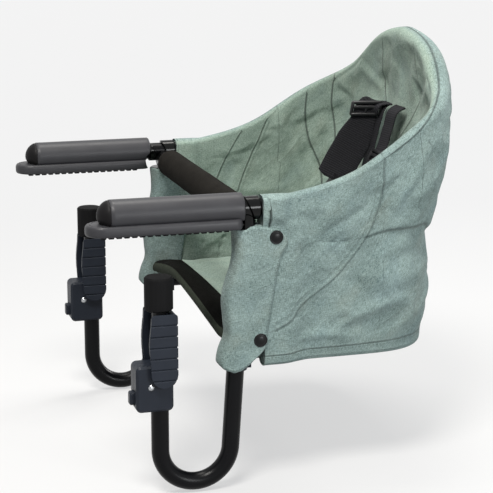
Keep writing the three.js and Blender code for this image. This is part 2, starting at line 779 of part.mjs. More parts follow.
// Release button: cap, retaining flange and stem
function releaseButton() {
  const cap = new THREE.ExtrudeGeometry(
    roundedRect(-buttonHalfWidth, buttonHalfWidth, -buttonHalfHeight, buttonHalfHeight, buttonCorner),
    { depth: housingFront + housingWall - buttonFront - buttonEdge, bevelEnabled: true, bevelSize: buttonEdge,
      bevelThickness: buttonEdge, bevelOffset: -buttonEdge, bevelSegments: 1, curveSegments: 3 },
  ).rotateX(-Math.PI / 2).translate(halfSpan, buttonFront + buttonEdge, buttonZ);
  const seat = housingFront + housingWall + seamGap;
  const wide = buttonHalfWidth + buttonFlange;
  const tall = buttonHalfHeight + buttonFlange;
  const flange = boxOf(halfSpan - wide, halfSpan + wide, seat, seat + buttonFlange,
    buttonZ - tall, buttonZ + tall);
  const stem = cylinderY(buttonStemRadius, seat - buttonEdge, pawlPinY - pawlBack - buttonStemGap,
    halfSpan, buttonZ, pinSides);
  return geometryOf(solidOf(cap).add(solidOf(flange)).add(solidOf(stem)));
}

// Plan of the seat wall at one level: straight side, then a rounded-square back
class WallPlan extends THREE.Curve {
  constructor(half, back, power) {
    super();
    this.half = half;
    this.back = back;
    this.power = power;
  }

  getPoint(t, target = new THREE.Vector3()) {
    if (t < wallStraight) {
      return target.set(this.half, wallFront + ((cornerStart - wallFront) * t) / wallStraight, 0);
    }
    const turn = ((t - wallStraight) / (1 - wallStraight)) * (Math.PI / 2);
    const across = Math.max(0, Math.cos(turn)) ** (2 / this.power);
    const along = Math.sin(turn) ** (2 / this.power);
    return target.set(this.half * across, cornerStart + (this.back - cornerStart) * along, 0);
  }
}

// Smooth line through pairs of place and value
function lineThrough(pairs) {
  const line = new THREE.CubicInterpolant(pairs.map(([at]) => at), pairs.map(([, value]) => value), 1);
  return (at) => line.evaluate(at)[0];
}

const backLean = lineThrough(backLeans);
const rimRise = lineThrough(rimRises);
const planCache = new Map();

function planAt(level) {
  if (!planCache.has(level)) {
    const flare = (rimHalfWidth - hemHalfWidth) * level;
    const half = hemHalfWidth + flare + sideBulge * Math.sin(Math.PI * level);
    const power = hemPower + (rimPower - hemPower) * smooth(level);
    planCache.set(level, new WallPlan(half, hemBack + backLean(level), power));
  }
  return planCache.get(level);
}

// Point of the seat wall: u runs from one front edge round the back to the other, level from hem to rim
function wallPoint(u, level, offset = 0) {
  const mirrored = u > 0.5;
  const along = Math.min(1, 2 * (mirrored ? 1 - u : u));
  const plan = planAt(level);
  const point = plan.getPointAt(along);
  const step = 0.004;
  const ahead = plan.getPointAt(Math.min(1, along + step));
  const behind = plan.getPointAt(Math.max(0, along - step));
  const out = along > 1 - step
    ? new THREE.Vector3(0, 1, 0)
    : new THREE.Vector3(ahead.y - behind.y, behind.x - ahead.x, 0).normalize();
  point.addScaledVector(out, offset);
  point.z = hemZ + level * (rimFrontZ + rimRise(along) - hemZ);
  if (mirrored) point.x = -point.x;
  return point;
}

function wallThickness(u) {
  const along = 2 * Math.min(u, 1 - u);
  return sideThickness + (backThickness - sideThickness) * smooth((along - thickenFrom) / thickenRun);
}

// Padded panel of the wall between two places on its run
function wallPanel(u0, u1, steps) {
  const rings = Array.from({ length: steps + 1 }, (_, k) => {
    const u = u0 + ((u1 - u0) * k) / steps;
    const half = wallThickness(u) / 2;
    const outer = wallClimb.map(([level, share]) => wallPoint(u, level, half * share));
    const inner = wallClimb.map(([level, share]) => wallPoint(u, level, -half * share)).reverse();
    return [...outer, wallPoint(u, 1), ...inner];
  });
  const hoop = solidOf(pipe(rimHoopStations(), hoopRadius + seamGap, hoopSides));
  return geometryOf(solidOf(loft(rings)).subtract(hoop));
}

// Rod in the rim hem, from one corner joint round the back to the other
function rimHoopStations() {
  const plugged = legAxisY(legTopZ) + tubeRadius + tubeWall;
  const lead = [[plugged, hoopSocketZ], [hoopSocketEnd, hoopSocketZ],
    [wallFront - hoopLeadBack, hoopSocketZ + hoopLeadRise]];
  const side = lead.map(([y, z]) => new THREE.Vector3(halfSpan, y, z));
  const middle = Array.from({ length: hoopSteps + 1 }, (_, k) =>
    wallPoint(hoopStart + ((1 - 2 * hoopStart) * k) / hoopSteps, hoopLevel));
  const other = side.map((p) => new THREE.Vector3(-p.x, p.y, p.z)).reverse();
  return [...side, ...middle, ...other];
}

// Plan ring for the base pieces: softened front corners, rounded back, drawn towards its middle by a share
function basePlan(half, front, back, z, shrink = 0) {
  const steps = 20;
  const plan = new WallPlan(half, back, hemPower);
  const round = Array.from({ length: steps + 1 }, (_, k) => {
    const u = k / steps;
    const point = plan.getPointAt(2 * Math.min(u, 1 - u));
    return new THREE.Vector3(u > 0.5 ? -point.x : point.x, point.y, z);
  });
  const corner = (sign) => [[0, 1], [0.12, 0.45], [0.45, 0.12], [1, 0]].map(([dx, dy]) =>
    new THREE.Vector3(sign * (half - baseCorner * dx), front + baseCorner * dy, z));
  const edge = half - baseCorner;
  const across = Array.from({ length: frontSteps - 1 }, (_, k) =>
    new THREE.Vector3(edge * ((2 * (k + 1)) / frontSteps - 1), front, z));
  const middle = new THREE.Vector3(0, (front + back) / 2, z);
  return [...corner(1).reverse(), ...round, ...corner(-1), ...across].map((p) => p.lerp(middle, shrink));
}

function seatBoard() {
  const top = baseHoopZ + baseHoopRadius + seamGap + boardThickness;
  return loft([basePlan(boardHalfWidth, boardFront, boardBack, top - boardThickness),
    basePlan(boardHalfWidth, boardFront, boardBack, top)]);
}

// Front of the cushion, bowed forward and lifted towards its middle
function frontLip(point) {
  const middle = 1 - Math.min(1, Math.abs(point.x) / cushionHalfWidth) ** lipPower;
  const share = middle * smooth((lipRun - point.y) / (lipRun - cushionFront));
  return point.add(new THREE.Vector3(0, -lipBow * share, lipRise * share));
}

// Crowned cushion: drawn in at the foot, domed over the top
function seatCushion() {
  const foot = baseHoopZ + baseHoopRadius + boardThickness + 2 * seamGap;
  const layers = [[0.02, 0, 0], [0, 0.35, 0], [0.008, 0.72, 0], [0.04, 0.96, 0.1], [0.16, 1, 0.45],
    [0.4, 1, 0.84], [0.7, 1, 1]];
  return loft(layers.map(([shrink, lift, swell]) => basePlan(cushionHalfWidth, cushionFront, cushionBack,
    foot + cushionHeight * lift + cushionCrown * swell, shrink).map(frontLip)));
}

// Tube under the seat board, from one leg bracket round the back to the other
function baseHoopStations(front) {
  const steps = 18;
  const plan = new WallPlan(baseHoopHalf, baseHoopBack, hemPower);
  const round = Array.from({ length: steps + 1 }, (_, k) => {
    const u = k / steps;
    const point = plan.getPointAt(2 * Math.min(u, 1 - u));
    return new THREE.Vector3(u > 0.5 ? -point.x : point.x, point.y, baseHoopZ);
  });
  return [new THREE.Vector3(baseHoopHalf, front, baseHoopZ), ...round,
    new THREE.Vector3(-baseHoopHalf, front, baseHoopZ)];
}

// Clamp ring on the leg with a socket for the base tube
function bracketBlank(grow) {
  const ring = solidOf(cylinderZ(bracketRadius + grow, bracketBottom - grow, bracketTop + grow, halfSpan,
    legAxisY(baseHoopZ), roundSides));
  const inner = baseHoopHalf - baseHoopRadius - bracketLip;
  const lug = solidOf(boxOf(inner - grow, halfSpan, legAxisY(baseHoopZ) - lugFront - grow,
    legAxisY(baseHoopZ) + lugRear + grow, bracketBottom - grow, bracketTop + grow));
  return ring.add(lug);
}

function legBracket() {
  const leg = solidOf(pipe(legStations(), tubeRadius + seamGap));
  const socket = solidOf(cylinderY(baseHoopRadius + seamGap, baseHoopFront - seamGap,
    baseHoopFront + bracketSocketDepth, baseHoopHalf, baseHoopZ));
  return geometryOf(bracketBlank(0).subtract(leg).subtract(socket));
}

// Fabric sleeve that wraps the upright, with a rolled top behind the corner joint
function legSleeve() {
  const seam = wallFront - seamGap;
  const levels = [...sleeveFoot.map(([rise, front, rear]) => [sleeveBottom + rise, front, rear]),
    ...sleeveFront.map(([z, front]) => [z, front, seam])];
  const rings = levels.map(([z, front, rear]) => {
    const arc = 4;
    const ring = [];
    for (let k = 0; k <= arc; k += 1) {
      const turn = (Math.PI * k) / arc;
      ring.push(new THREE.Vector3(halfSpan + sleeveHalf * Math.cos(turn),
        rear - sleeveHem + sleeveHem * Math.sin(turn), z));
    }
    for (let k = 0; k <= arc; k += 1) {
      const turn = Math.PI + (Math.PI * k) / arc;
      ring.push(new THREE.Vector3(halfSpan + sleeveHalf * Math.cos(turn),
        front + sleeveNose + sleeveNose * Math.sin(turn), z));
    }
    return ring;
  });
  const roll = solidOf(cylinderY(rollRadius, collarRear + seamGap, seam, halfSpan, armAxisZ, roundSides));
  const neck = solidOf(boxOf(halfSpan - sleeveHalf, halfSpan + sleeveHalf, collarRear + seamGap, seam,
    sleeveTop - cutOver, armAxisZ));
  const arm = solidOf(cylinderY(tubeRadius + 2 * slideFit, clampY, wallFront - cutOver,
    halfSpan, armAxisZ));
  const leg = solidOf(pipe(legStations(cutOver), tubeRadius + seamGap));
  const socket = solidOf(cylinderZ(legSocketRadius + seamGap, legSocketBottom - seamGap, armAxisZ, halfSpan,
    legAxisY(legTopZ), roundSides));
  const gusset = solidOf(boxOf(halfSpan - legSocketRadius, halfSpan + legSocketRadius, gripRear,
    collarRear + seamGap, legSocketBottom / 3 - seamGap, armAxisZ));
  const plug = solidOf(cylinderY(hoopSocketRadius + seamGap, 0, hoopSocketEnd + seamGap,
    halfSpan, hoopSocketZ));
  const hoop = solidOf(pipe(rimHoopStations(), hoopRadius + seamGap, hoopSides));
  const wrap = solidOf(loft(rings)).add(roll).add(neck);
  return geometryOf(wrap.subtract(arm).subtract(leg).subtract(socket).subtract(gusset)
    .subtract(bracketBlank(seamGap)).subtract(plug).subtract(hoop));
}

// Cap of a press stud on the sleeve's outer face
function snapCap([y, z]) {
  const dome = [[0, 0], [1, 0], [1, 0.5], [0.8, 0.85], [0.4, 1], [0, 1]];
  const profile = dome.map(([r, x]) => new THREE.Vector2(r * snapRadius, x * snapHeight));
  return new THREE.LatheGeometry(profile, roundSides)
    .rotateZ(-Math.PI / 2).translate(halfSpan + sleeveHalf + seamGap, y, z);
}

// Flat webbing along a route, its width kept across the route
function web(route, across, steps, width = webWidth, thickness = webThickness) {
  const curve = new THREE.CatmullRomCurve3(route);
  const rings = Array.from({ length: steps + 1 }, (_, k) => {
    const point = curve.getPointAt(k / steps);
    const along = curve.getTangentAt(k / steps);
    const side = across.clone().addScaledVector(along, -along.dot(across)).normalize();
    const face = new THREE.Vector3().crossVectors(along, side);
    return [[1, 1], [-1, 1], [-1, -1], [1, -1]].map(([a, b]) => point.clone()
      .addScaledVector(side, (a * width) / 2).addScaledVector(face, (b * thickness) / 2));
  });
  return loft(rings);
}

// Route of a shoulder strap, from its slot in the back panel to the tongue
function shoulderRoute() {
  const lift = wallThickness(shoulderU) / 2 + webThickness / 2 + strapClear;
  const slot = wallPoint(shoulderU, shoulderLevel, -lift);
  const below = wallPoint(shoulderU + strapDrift, shoulderLevel - strapDrop, -lift - strapLift);
  const end = new THREE.Vector3(tongueSpread, buckleY + tongueBack, buckleZ + tongueRise);
  const bends = strapBends.map((share) => below.clone().lerp(end, share));
  return [slot, below, ...bends, end];
}

// Direction along the back panel at the strap's slot
function shoulderAcross() {
  const step = 0.01;
  const ahead = wallPoint(shoulderU + step, shoulderLevel);
  return wallPoint(shoulderU - step, shoulderLevel).sub(ahead).setZ(0).normalize();
}

// Axes of a strap fitting: across the web, along it, and out of its face
function strapFrame(curve, share) {
  const along = curve.getTangentAt(share);
  const side = shoulderAcross();
  const across = side.addScaledVector(along, -along.dot(side)).normalize();
  const face = new THREE.Vector3().crossVectors(across, along);
  return new THREE.Matrix4().makeBasis(across, along, face).setPosition(curve.getPointAt(share));
}

// Adjuster that the web runs through
function strapSlider() {
  const curve = new THREE.CatmullRomCurve3(shoulderRoute());
  const outline = roundedRect(-sliderWidth / 2, sliderWidth / 2, -sliderLength / 2, sliderLength / 2,
    sliderCorner);
  const frame = new THREE.ExtrudeGeometry(outline,
    { depth: sliderDepth, bevelEnabled: false, curveSegments: 3 }).translate(0, 0, -sliderDepth / 2);
  const slot = web(shoulderRoute(), shoulderAcross(), webSteps, webWidth + 4 * seamGap,
    webThickness + 2 * seamGap);
  return geometryOf(solidOf(frame.applyMatrix4(strapFrame(curve, sliderAt))).subtract(solidOf(slot)));
}

function buckleBlank(grow) {
  const wide = buckleWidth / 2 + grow;
  const tall = buckleHeight / 2 + grow;
  const blank = new THREE.ExtrudeGeometry(roundedRect(-wide, wide, -tall, tall, buckleCorner), {
    depth: buckleDepth + 2 * grow - 2 * buckleEdge,
    bevelEnabled: true,
    bevelSize: buckleEdge,
    bevelThickness: buckleEdge,
    bevelOffset: -buckleEdge,
    bevelSegments: 1,
    curveSegments: 3,
  });
  const face = buckleY - buckleDepth / 2 - grow;
  return solidOf(blank.rotateX(-Math.PI / 2).translate(0, face + buckleEdge, buckleZ));
}

function buckleBody() {
  const face = buckleY - buckleDepth / 2;
  const well = cylinderY(buckleButtonRadius + slideFit, face - cutOver, face + buckleWell,
    0, buckleZ, roundSides);
  return geometryOf(buckleBlank(0).subtract(solidOf(well)));
}

// Round release in the buckle's face
function buckleButton() {
  const face = buckleY - buckleDepth / 2;
  const depth = buckleButtonProud + buckleButtonDepth;
  const profile = [[0, 0], [buckleButtonRadius - buttonEdge, 0], [buckleButtonRadius, buttonEdge],
    [buckleButtonRadius, depth], [0, depth]];
  return new THREE.LatheGeometry(profile.map(([r, y]) => new THREE.Vector2(r, y)), roundSides)
    .translate(0, face - buckleButtonProud, buckleZ);
}

// Tongue between a shoulder strap and the buckle
function buckleTongue() {
  const curve = new THREE.CatmullRomCurve3(shoulderRoute());
  const outline = roundedRect(-tongueWidth / 2, tongueWidth / 2, seamGap, tongueLength, tongueCorner);
  const plate = new THREE.ExtrudeGeometry(outline,
    { depth: tongueThickness, bevelEnabled: false, curveSegments: 3 }).translate(0, 0, -tongueThickness / 2);
  const half = boxOf(seamGap / 2, cutReach, 0, cutReach, -cutReach, cutReach);
  return geometryOf(solidOf(plate.applyMatrix4(strapFrame(curve, 1))).intersect(solidOf(half))
    .subtract(buckleBlank(seamGap)));
}

function shoulderStrap() {
  return web(shoulderRoute(), shoulderAcross(), webSteps);
}

function waistStrap() {
  const side = buckleWidth / 2 + seamGap;
  const surface = wallThickness(waistU) / 2 + waistClear * webThickness;
  const route = [wallPoint(waistU, waistLevel, -surface), wallPoint(waistU, waistLevel, -surface - waistOut),
    new THREE.Vector3(side + waistSpread, buckleY + waistSpread * waistSlack, buckleZ - waistSag),
    new THREE.Vector3(side + waistLead, buckleY + waistLead / 2, buckleZ - waistLead / 2),
    new THREE.Vector3(side - webThickness / 2, buckleY, buckleZ)];
  const strap = web(route, new THREE.Vector3(0.1, 0.2, 1), 8, waistWidth);
  return geometryOf(solidOf(strap).subtract(buckleBlank(seamGap)));
}

function crotchStrap() {
  const top = buckleZ - buckleHeight / 2 - seamGap;
  const seat = baseHoopZ + baseHoopRadius + boardThickness + 2 * seamGap + cushionHeight + cushionCrown;
  const route = [[0, crotchY, seat + 3 * seamGap], [0, (crotchY + buckleY) / 2 - crotchBow, (seat + top) / 2],
    [0, buckleY, top]];
  const strap = solidOf(web(route.map((p) => new THREE.Vector3(...p)), new THREE.Vector3(1, 0, 0), 4));
  return geometryOf(strap.subtract(buckleBlank(seamGap)));
}

// Pieces of one side, drawn at +X and mirrored for the other
function sideOf(side) {
  const group = new THREE.Group();
  const arm = new THREE.Group();
  arm.position.y = -armDrawnOut[side];
  arm.add(
    named(`arm_tube_${side}`, armTube(), blackTube()),
    named(`arm_grip_${side}`, armGrip(), grey()),
    named(`grip_pad_${side}`, gripPad(), rubber()),
    named(`arm_collar_${side}`, armCollar(), gloss()),
  );
  group.add(
    arm,
    named(`corner_joint_${side}`, cornerJoint(), gloss()),
    named(`leg_tube_${side}`, legTube(), blackTube()),
    named(`leg_bracket_${side}`, legBracket(), shell()),
    named(`clamp_housing_outer_${side}`, housingHalf(1), shell()),
    named(`clamp_housing_inner_${side}`, housingHalf(-1), shell()),
    named(`jack_column_${side}`, column(), steel()),
    named(`clamp_pad_${side}`, clampPad(), rubber()),
    named(`lever_core_${side}`, leverCore(), shell()),
    named(`lever_skin_${side}`, leverSkinPiece(), rubber()),
    named(`pawl_${side}`, pawl(), steel()),
    named(`pawl_pin_${side}`, pawlPin(), steel()),
    named(`pawl_spring_${side}`, pawlSpring(), steel()),
    named(`release_button_${side}`, releaseButton(), shell()),
    named(`leg_sleeve_${side}`, legSleeve(), cloth()),
    named(`shoulder_strap_${side}`, shoulderStrap(), webbing()),
    named(`strap_slider_${side}`, strapSlider(), shell()),
    named(`buckle_tongue_${side}`, buckleTongue(), shell()),
    named(`waist_strap_${side}`, waistStrap(), webbing()),
    named(`side_panel_${side}`, wallPanel(0, panelSplit / 2, 6), cloth()),
  );
  Object.entries(snapSpots).forEach(([place, spot]) => {
    group.add(named(`snap_${place}_${side}`, snapCap(spot), gloss()));
  });
  group.scale.x = side === 'left' ? 1 : -1;
  return group;
}

const chair = new THREE.Group();
chair.add(
  sideOf('left'),
  sideOf('right'),
  named('crossbar_tube', crossbarTube(), blackTube()),
  named('crossbar_foam', crossbarFoam(), foam()),
  named('rim_hoop', pipe(rimHoopStations(), hoopRadius, hoopSides), steel()),
  named('base_hoop', pipe(baseHoopStations(baseHoopFront), baseHoopRadius, 10), blackTube()),
  named('seat_board', seatBoard(), board()),
  named('seat_cushion', seatCushion(), cloth()),
  named('crotch_strap', crotchStrap(), webbing()),
  named('buckle_body', buckleBody(), shell()),
  named('buckle_button', buckleButton(), gloss()),
  named('back_panel', wallPanel(panelSplit / 2 + panelGap, 1 - panelSplit / 2 - panelGap, 12), cloth()),
);

export default chair;
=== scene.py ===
import math
from functools import partialmethod

import bpy
import numpy as np
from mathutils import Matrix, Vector


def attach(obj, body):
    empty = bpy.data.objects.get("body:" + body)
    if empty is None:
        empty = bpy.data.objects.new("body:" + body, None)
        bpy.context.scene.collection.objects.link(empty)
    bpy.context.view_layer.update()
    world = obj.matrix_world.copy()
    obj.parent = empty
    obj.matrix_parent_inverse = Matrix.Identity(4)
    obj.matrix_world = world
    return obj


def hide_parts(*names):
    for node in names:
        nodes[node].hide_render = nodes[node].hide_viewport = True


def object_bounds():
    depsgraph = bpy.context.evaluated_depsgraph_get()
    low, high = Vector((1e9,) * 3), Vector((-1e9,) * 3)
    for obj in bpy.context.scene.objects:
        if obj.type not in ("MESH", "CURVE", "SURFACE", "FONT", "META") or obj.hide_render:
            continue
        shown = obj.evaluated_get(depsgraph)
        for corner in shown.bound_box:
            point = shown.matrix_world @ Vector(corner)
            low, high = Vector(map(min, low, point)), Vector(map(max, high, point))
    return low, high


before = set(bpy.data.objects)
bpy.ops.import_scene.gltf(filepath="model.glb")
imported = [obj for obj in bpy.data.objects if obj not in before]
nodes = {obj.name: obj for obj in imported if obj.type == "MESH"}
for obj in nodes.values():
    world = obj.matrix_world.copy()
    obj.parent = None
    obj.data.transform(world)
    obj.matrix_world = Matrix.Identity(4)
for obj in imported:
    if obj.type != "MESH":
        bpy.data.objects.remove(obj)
cadBox = [[float(v) for v in corner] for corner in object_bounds()]
scene = bpy.context.scene
sides = {"left": 1.0, "right": -1.0}
toMetres = 0.001

# Camera where the photograph was taken
camera = dict(place=(1.9076, -0.4817, 0.3912), azimuth=73.6756, elevation=13.0246, lens=121.449, sensor=36.0)


def addCamera():
    data = bpy.data.cameras.new("camera")
    data.lens = camera["lens"]
    data.sensor_width = camera["sensor"]
    azimuth, elevation = math.radians(camera["azimuth"]), math.radians(camera["elevation"])
    back = Vector((math.sin(azimuth) * math.cos(elevation), -math.cos(azimuth) * math.cos(elevation),
                   math.sin(elevation)))
    eye = bpy.data.objects.new("camera", data)
    eye.location = camera["place"]
    eye.rotation_euler = back.to_track_quat("Z", "Y").to_euler()
    scene.collection.objects.link(eye)
    scene.camera = eye


addCamera()
print("camera set")


class Field:
    # A shader socket that takes part in arithmetic
    def __init__(self, tree, socket=None):
        self.tree = tree
        self.socket = socket

    def make(self, kind, inputs=(), output=0, **settings):
        node = self.tree.nodes.new("ShaderNode" + kind)
        for key, value in settings.items():
            setattr(node, key, value)
        for key, value in dict(inputs).items():
            if isinstance(value, Field):
                self.tree.links.new(value.socket, node.inputs[key])
            else:
                node.inputs[key].default_value = value
        return Field(self.tree, node.outputs[output])

    def math(self, operation, *others, **settings):
        return self.make("Math", enumerate((self, *others)), operation=operation, **settings)

    def __rsub__(self, other):
        return self.make("Math", {0: other, 1: self}, operation="SUBTRACT")

    __add__ = __radd__ = partialmethod(math, "ADD")
    __sub__ = partialmethod(math, "SUBTRACT")
    __mul__ = __rmul__ = partialmethod(math, "MULTIPLY")
    __truediv__ = partialmethod(math, "DIVIDE")

    def clamp(self):
        return self.math("ADD", 0.0, use_clamp=True)

    def bell(self, centre, width):
        # one at the centre, falling away over the width
        off = (self - centre) / width
        return (off * off * -1.0).math("EXPONENT")

    def stretch(self, x, y, z=1.0):
        return self.make("VectorMath", {0: self, 1: (x, y, z)}, operation="MULTIPLY")

    def noise(self, scale, detail=2.0, rough=0.55):
        return self.make("TexNoise", {"Vector": self, "Scale": scale, "Detail": detail, "Roughness": rough})

    def axes(self):
        # the three numbers of a vector
        parts = self.make("SeparateXYZ", {0: self}).socket.node.outputs
        return [Field(self.tree, part) for part in parts]

    def between(self, first, second):
        # this value as the share of the second colour in the first
        return self.make("Mix", {0: self, 6: first, 7: second}, output=2, data_type="RGBA")


def tint(red, green, blue):
    # a screen colour as the linear one that shaders use
    share = np.array([red, green, blue]) / 255.0
    line = np.where(share <= 0.04045, share / 12.92, ((share + 0.055) / 1.055) ** 2.4)
    return (*line.tolist(), 1.0)


def shade(name, constants, paint):
    # a material whose paint function returns what feeds the surface
    made = bpy.data.materials.new(name)
    made.use_nodes = True
    surface = made.node_tree.nodes["Principled BSDF"]
    for key, value in constants.items():
        surface.inputs[key].default_value = value
    for key, value in paint(Field(made.node_tree)).items():
        made.node_tree.links.new(value.socket, surface.inputs[key])
    return made


def bump(height):
    # heights in millimetres
    return height.make("Bump", {"Height": height, "Distance": toMetres, "Strength": 1.0})


# The cloth's weave: noise cells per metre along and across a thread, thread waves per metre, heights in millimetres
weave = dict(fine=1300, long=200, fleck=1100, cloud=26, threads=5236.0, slubHeight=0.14, threadHeight=0.06)
# its pulled creases, and its patches of warmer and cooler dye
crease = dict(across=15, down=27, width=0.022, patch=11)
dye = dict(patch=21, warm=tint(134, 130, 108), cool=tint(112, 140, 154), warmShare=0.16, coolShare=0.14)
# the groove of a sewn line with the shade painted along it, and the dashes of topstitching beside it
grooveShade = dict(colour=tint(36, 43, 40), deep=1.1)
stitch = dict(colour=tint(70, 82, 78), dashes=1500.0, wide=0.6, share=0.4, high=0.3, sunk=0.5, sunkWide=1.8)


def clothPaint(dark, light, seams, inner=None, creased=0.0):
    # melange weave: slubs along both threads, a fine plain weave, and the sewn lines it carries, with painted shade
    # along their grooves
    def paint(field):
        place = field.make("TexCoord", output="UV")
        run = place.axes()
        warp = place.stretch(weave["fine"], weave["long"]).noise(1.0, 3.0, 0.65)
        weft = place.stretch(weave["long"], weave["fine"]).noise(1.0, 3.0, 0.65)
        fleck = place.stretch(weave["fleck"], weave["fleck"]).noise(1.0, 2.0, 0.6)
        cloud = place.stretch(weave["cloud"], weave["cloud"]).noise(1.0)
        slub = (warp - 0.5) * 1.3 + (weft - 0.5) * 1.3 + (fleck - 0.5) + (cloud - 0.5) * 0.5
        thread = (run[0] * weave["threads"]).math("SINE") * (run[1] * weave["threads"]).math("SINE")
        share = (slub + 0.5).clamp()
        tone = share.between(dark, light)
        height = slub * weave["slubHeight"] + thread * weave["threadHeight"]
        if inner:
            # past the crest of the rim, a lighter, warmer tone of the same cloth: painted bounced light inside the
            # seat
            tone = (run[1] * -150.0).clamp().between(tone, share.between(*inner))
        if creased:
            pull = place.stretch(crease["across"], crease["down"]).noise(1.0, 2.0, 0.45)
            patch = (place.stretch(crease["patch"], crease["patch"]).noise(1.0, 1.0) * 5.0 - 2.2).clamp()
            height = height - (pull - 0.5).math("ABSOLUTE").bell(0.0, crease["width"]) * patch * creased
            hue = place.stretch(dye["patch"], dye["patch"]).noise(1.0)
            tone = ((hue * 5.0 - 2.7).clamp() * dye["warmShare"]).between(tone, dye["warm"])
            tone = ((2.3 - hue * 5.0).clamp() * dye["coolShare"]).between(tone, dye["cool"])
        # each sewn line sinks in a groove and gets painted shade along it, as dark as its dark share
        for name, line in seams.items():
            away = field.make("Attribute", output="Fac", attribute_name=name)
            dipAndShade = away.bell(0.0, line["wide"])
            tone = (dipAndShade * line["dark"]).between(tone, grooveShade["colour"])
            height = height - dipAndShade * grooveShade["deep"]
            if "stitch" in line:
                dash = ((run[line["way"]] * stitch["dashes"]).math("SINE") * 3.0 + 1.3).clamp()
                row = away.bell(line["stitch"], stitch["wide"]) * dash
                tone = (row * stitch["share"]).between(tone, stitch["colour"])
                height = height - away.bell(line["stitch"], stitch["sunkWide"]) * stitch["sunk"]
                height = height + row * stitch["high"]
        return {"Base Color": tone, "Normal": bump(height)}
    return paint


fabric = {"Roughness": 0.93, "Specular IOR Level": 0.05, "Sheen Weight": 0.1, "Sheen Roughness": 0.5}
# how wide each sewn line is, how dark the shade painted along it is, and where its topstitching runs
wallSeams = {
    "diagonal": dict(wide=1.6, dark=0.34, stitch=-8.0, way=1), "pocket": dict(wide=1.8, dark=0.45),
    "hemline": dict(wide=1.1, dark=0.4, stitch=3.4, way=0), "rimline": dict(wide=1.1, dark=0.6),
    # the slit's dark line is painted shade for a small opening in the wall above the flap
    "slit": dict(wide=1.6, dark=0.9), "inside1": dict(wide=1.2, dark=0.7), "inside2": dict(wide=1.2, dark=0.7),
    "inside3": dict(wide=1.0, dark=0.5, stitch=5.0, way=1), "inside4": dict(wide=1.0, dark=0.6),
    "inside5": dict(wide=1.0, dark=0.6),
}
# the flap's edges get painted shade for the gap beside them, darkest along its rear edge
flapSeams = {
    "flapRear": dict(wide=1.3, dark=0.75, stitch=3.6, way=1),
    "flapLow": dict(wide=1.0, dark=0.4, stitch=4.0, way=0),
    "flapTop": dict(wide=0.8, dark=0.2, stitch=4.0, way=0),
}
melange = (tint(61, 80, 78), tint(162, 181, 177))
# lighter, warmer tones of the wall cloth, painted bounced light inside the seat: on the wall's inside and on the seat
# pad
bounceLitMelange = (tint(93, 112, 103), tint(175, 192, 179))
wallCloth = shade("wall_cloth", fabric, clothPaint(*melange, wallSeams, bounceLitMelange, 0.4))
flapCloth = shade("flap_cloth", fabric, clothPaint(*melange, flapSeams, creased=0.4))
padCloth = shade("pad_cloth", fabric, clothPaint(*bounceLitMelange, {}, creased=0.3))
matte = {"Roughness": 0.95, "Specular IOR Level": 0.05}
# black lining cloth, kept very dark partly as painted shade on the seat's front lip
liningWithShade = shade("lining_and_painted_shade", matte, clothPaint(tint(8, 8, 7), tint(19, 19, 17), {}))
binding = shade("olive_binding", matte, clothPaint(tint(38, 42, 36), tint(66, 71, 62), {}))


def webPaint(field):
    # ribs across the web, with a little fuzz
    place = field.make("TexCoord", output="UV")
    across, along, _ = place.axes()
    ribs = (along * 2400.0 + (across * 2600.0).math("SINE") * 0.7).math("SINE")
    fuzz = place.stretch(900, 300).noise(1.0, 3.0)
    tone = (ribs * 0.25 + fuzz * 0.9).clamp().between(tint(12, 12, 14), tint(52, 52, 56))
    return {"Base Color": tone, "Normal": bump(ribs * 0.13 + fuzz * 0.1)}


def paintFor(dark, light, grain, rough, speck=0.0, scratch=0.0, edge=0.0):
    # moulded or painted surface: mottled colour and gloss, fine grain, handling marks, eased edges
    def paint(field):
        place = field.make("TexCoord", output="Object")
        fine = place.noise(1400.0, 2.0)
        cloud = place.noise(38.0, 3.0)
        marks = place.stretch(40, 420, 40).noise(1.0, 4.0, 0.65)
        tone = ((cloud - 0.5) * 0.9 + (fine - 0.5) * speck + 0.5).clamp().between(dark, light)
        gloss = (cloud - 0.5) * 0.18 + (marks - 0.5) * scratch + rough
        normal = bump(fine * grain + cloud * 0.03)
        if edge:
            eased = field.make("Bevel", {"Radius": edge * toMetres}, samples=4)
            field.tree.links.new(eased.socket, normal.socket.node.inputs["Normal"])
        return {"Base Color": tone, "Roughness": gloss.clamp(), "Normal": normal}
    return paint


def foamPaint(field):
    # small open cells
    place = field.make("TexCoord", output="Object")
    cells = place.make("TexVoronoi", {"Vector": place, "Scale": 900.0})
    cloud = place.noise(60.0, 3.0)
    tone = (cells * 0.7 + (cloud - 0.5) * 0.6 + 0.15).clamp().between(tint(15, 14, 13), tint(42, 40, 37))
    return {"Base Color": tone, "Normal": bump(cells * 0.25 + cloud * 0.35)}


def moulded(name, gloss, dark, light, *texture, **extra):
    # a finish from its gloss, its darkest and lightest tints and the rest of what paintFor takes
    return shade(name, {"Specular IOR Level": gloss, **extra}, paintFor(tint(*dark), tint(*light), *texture))


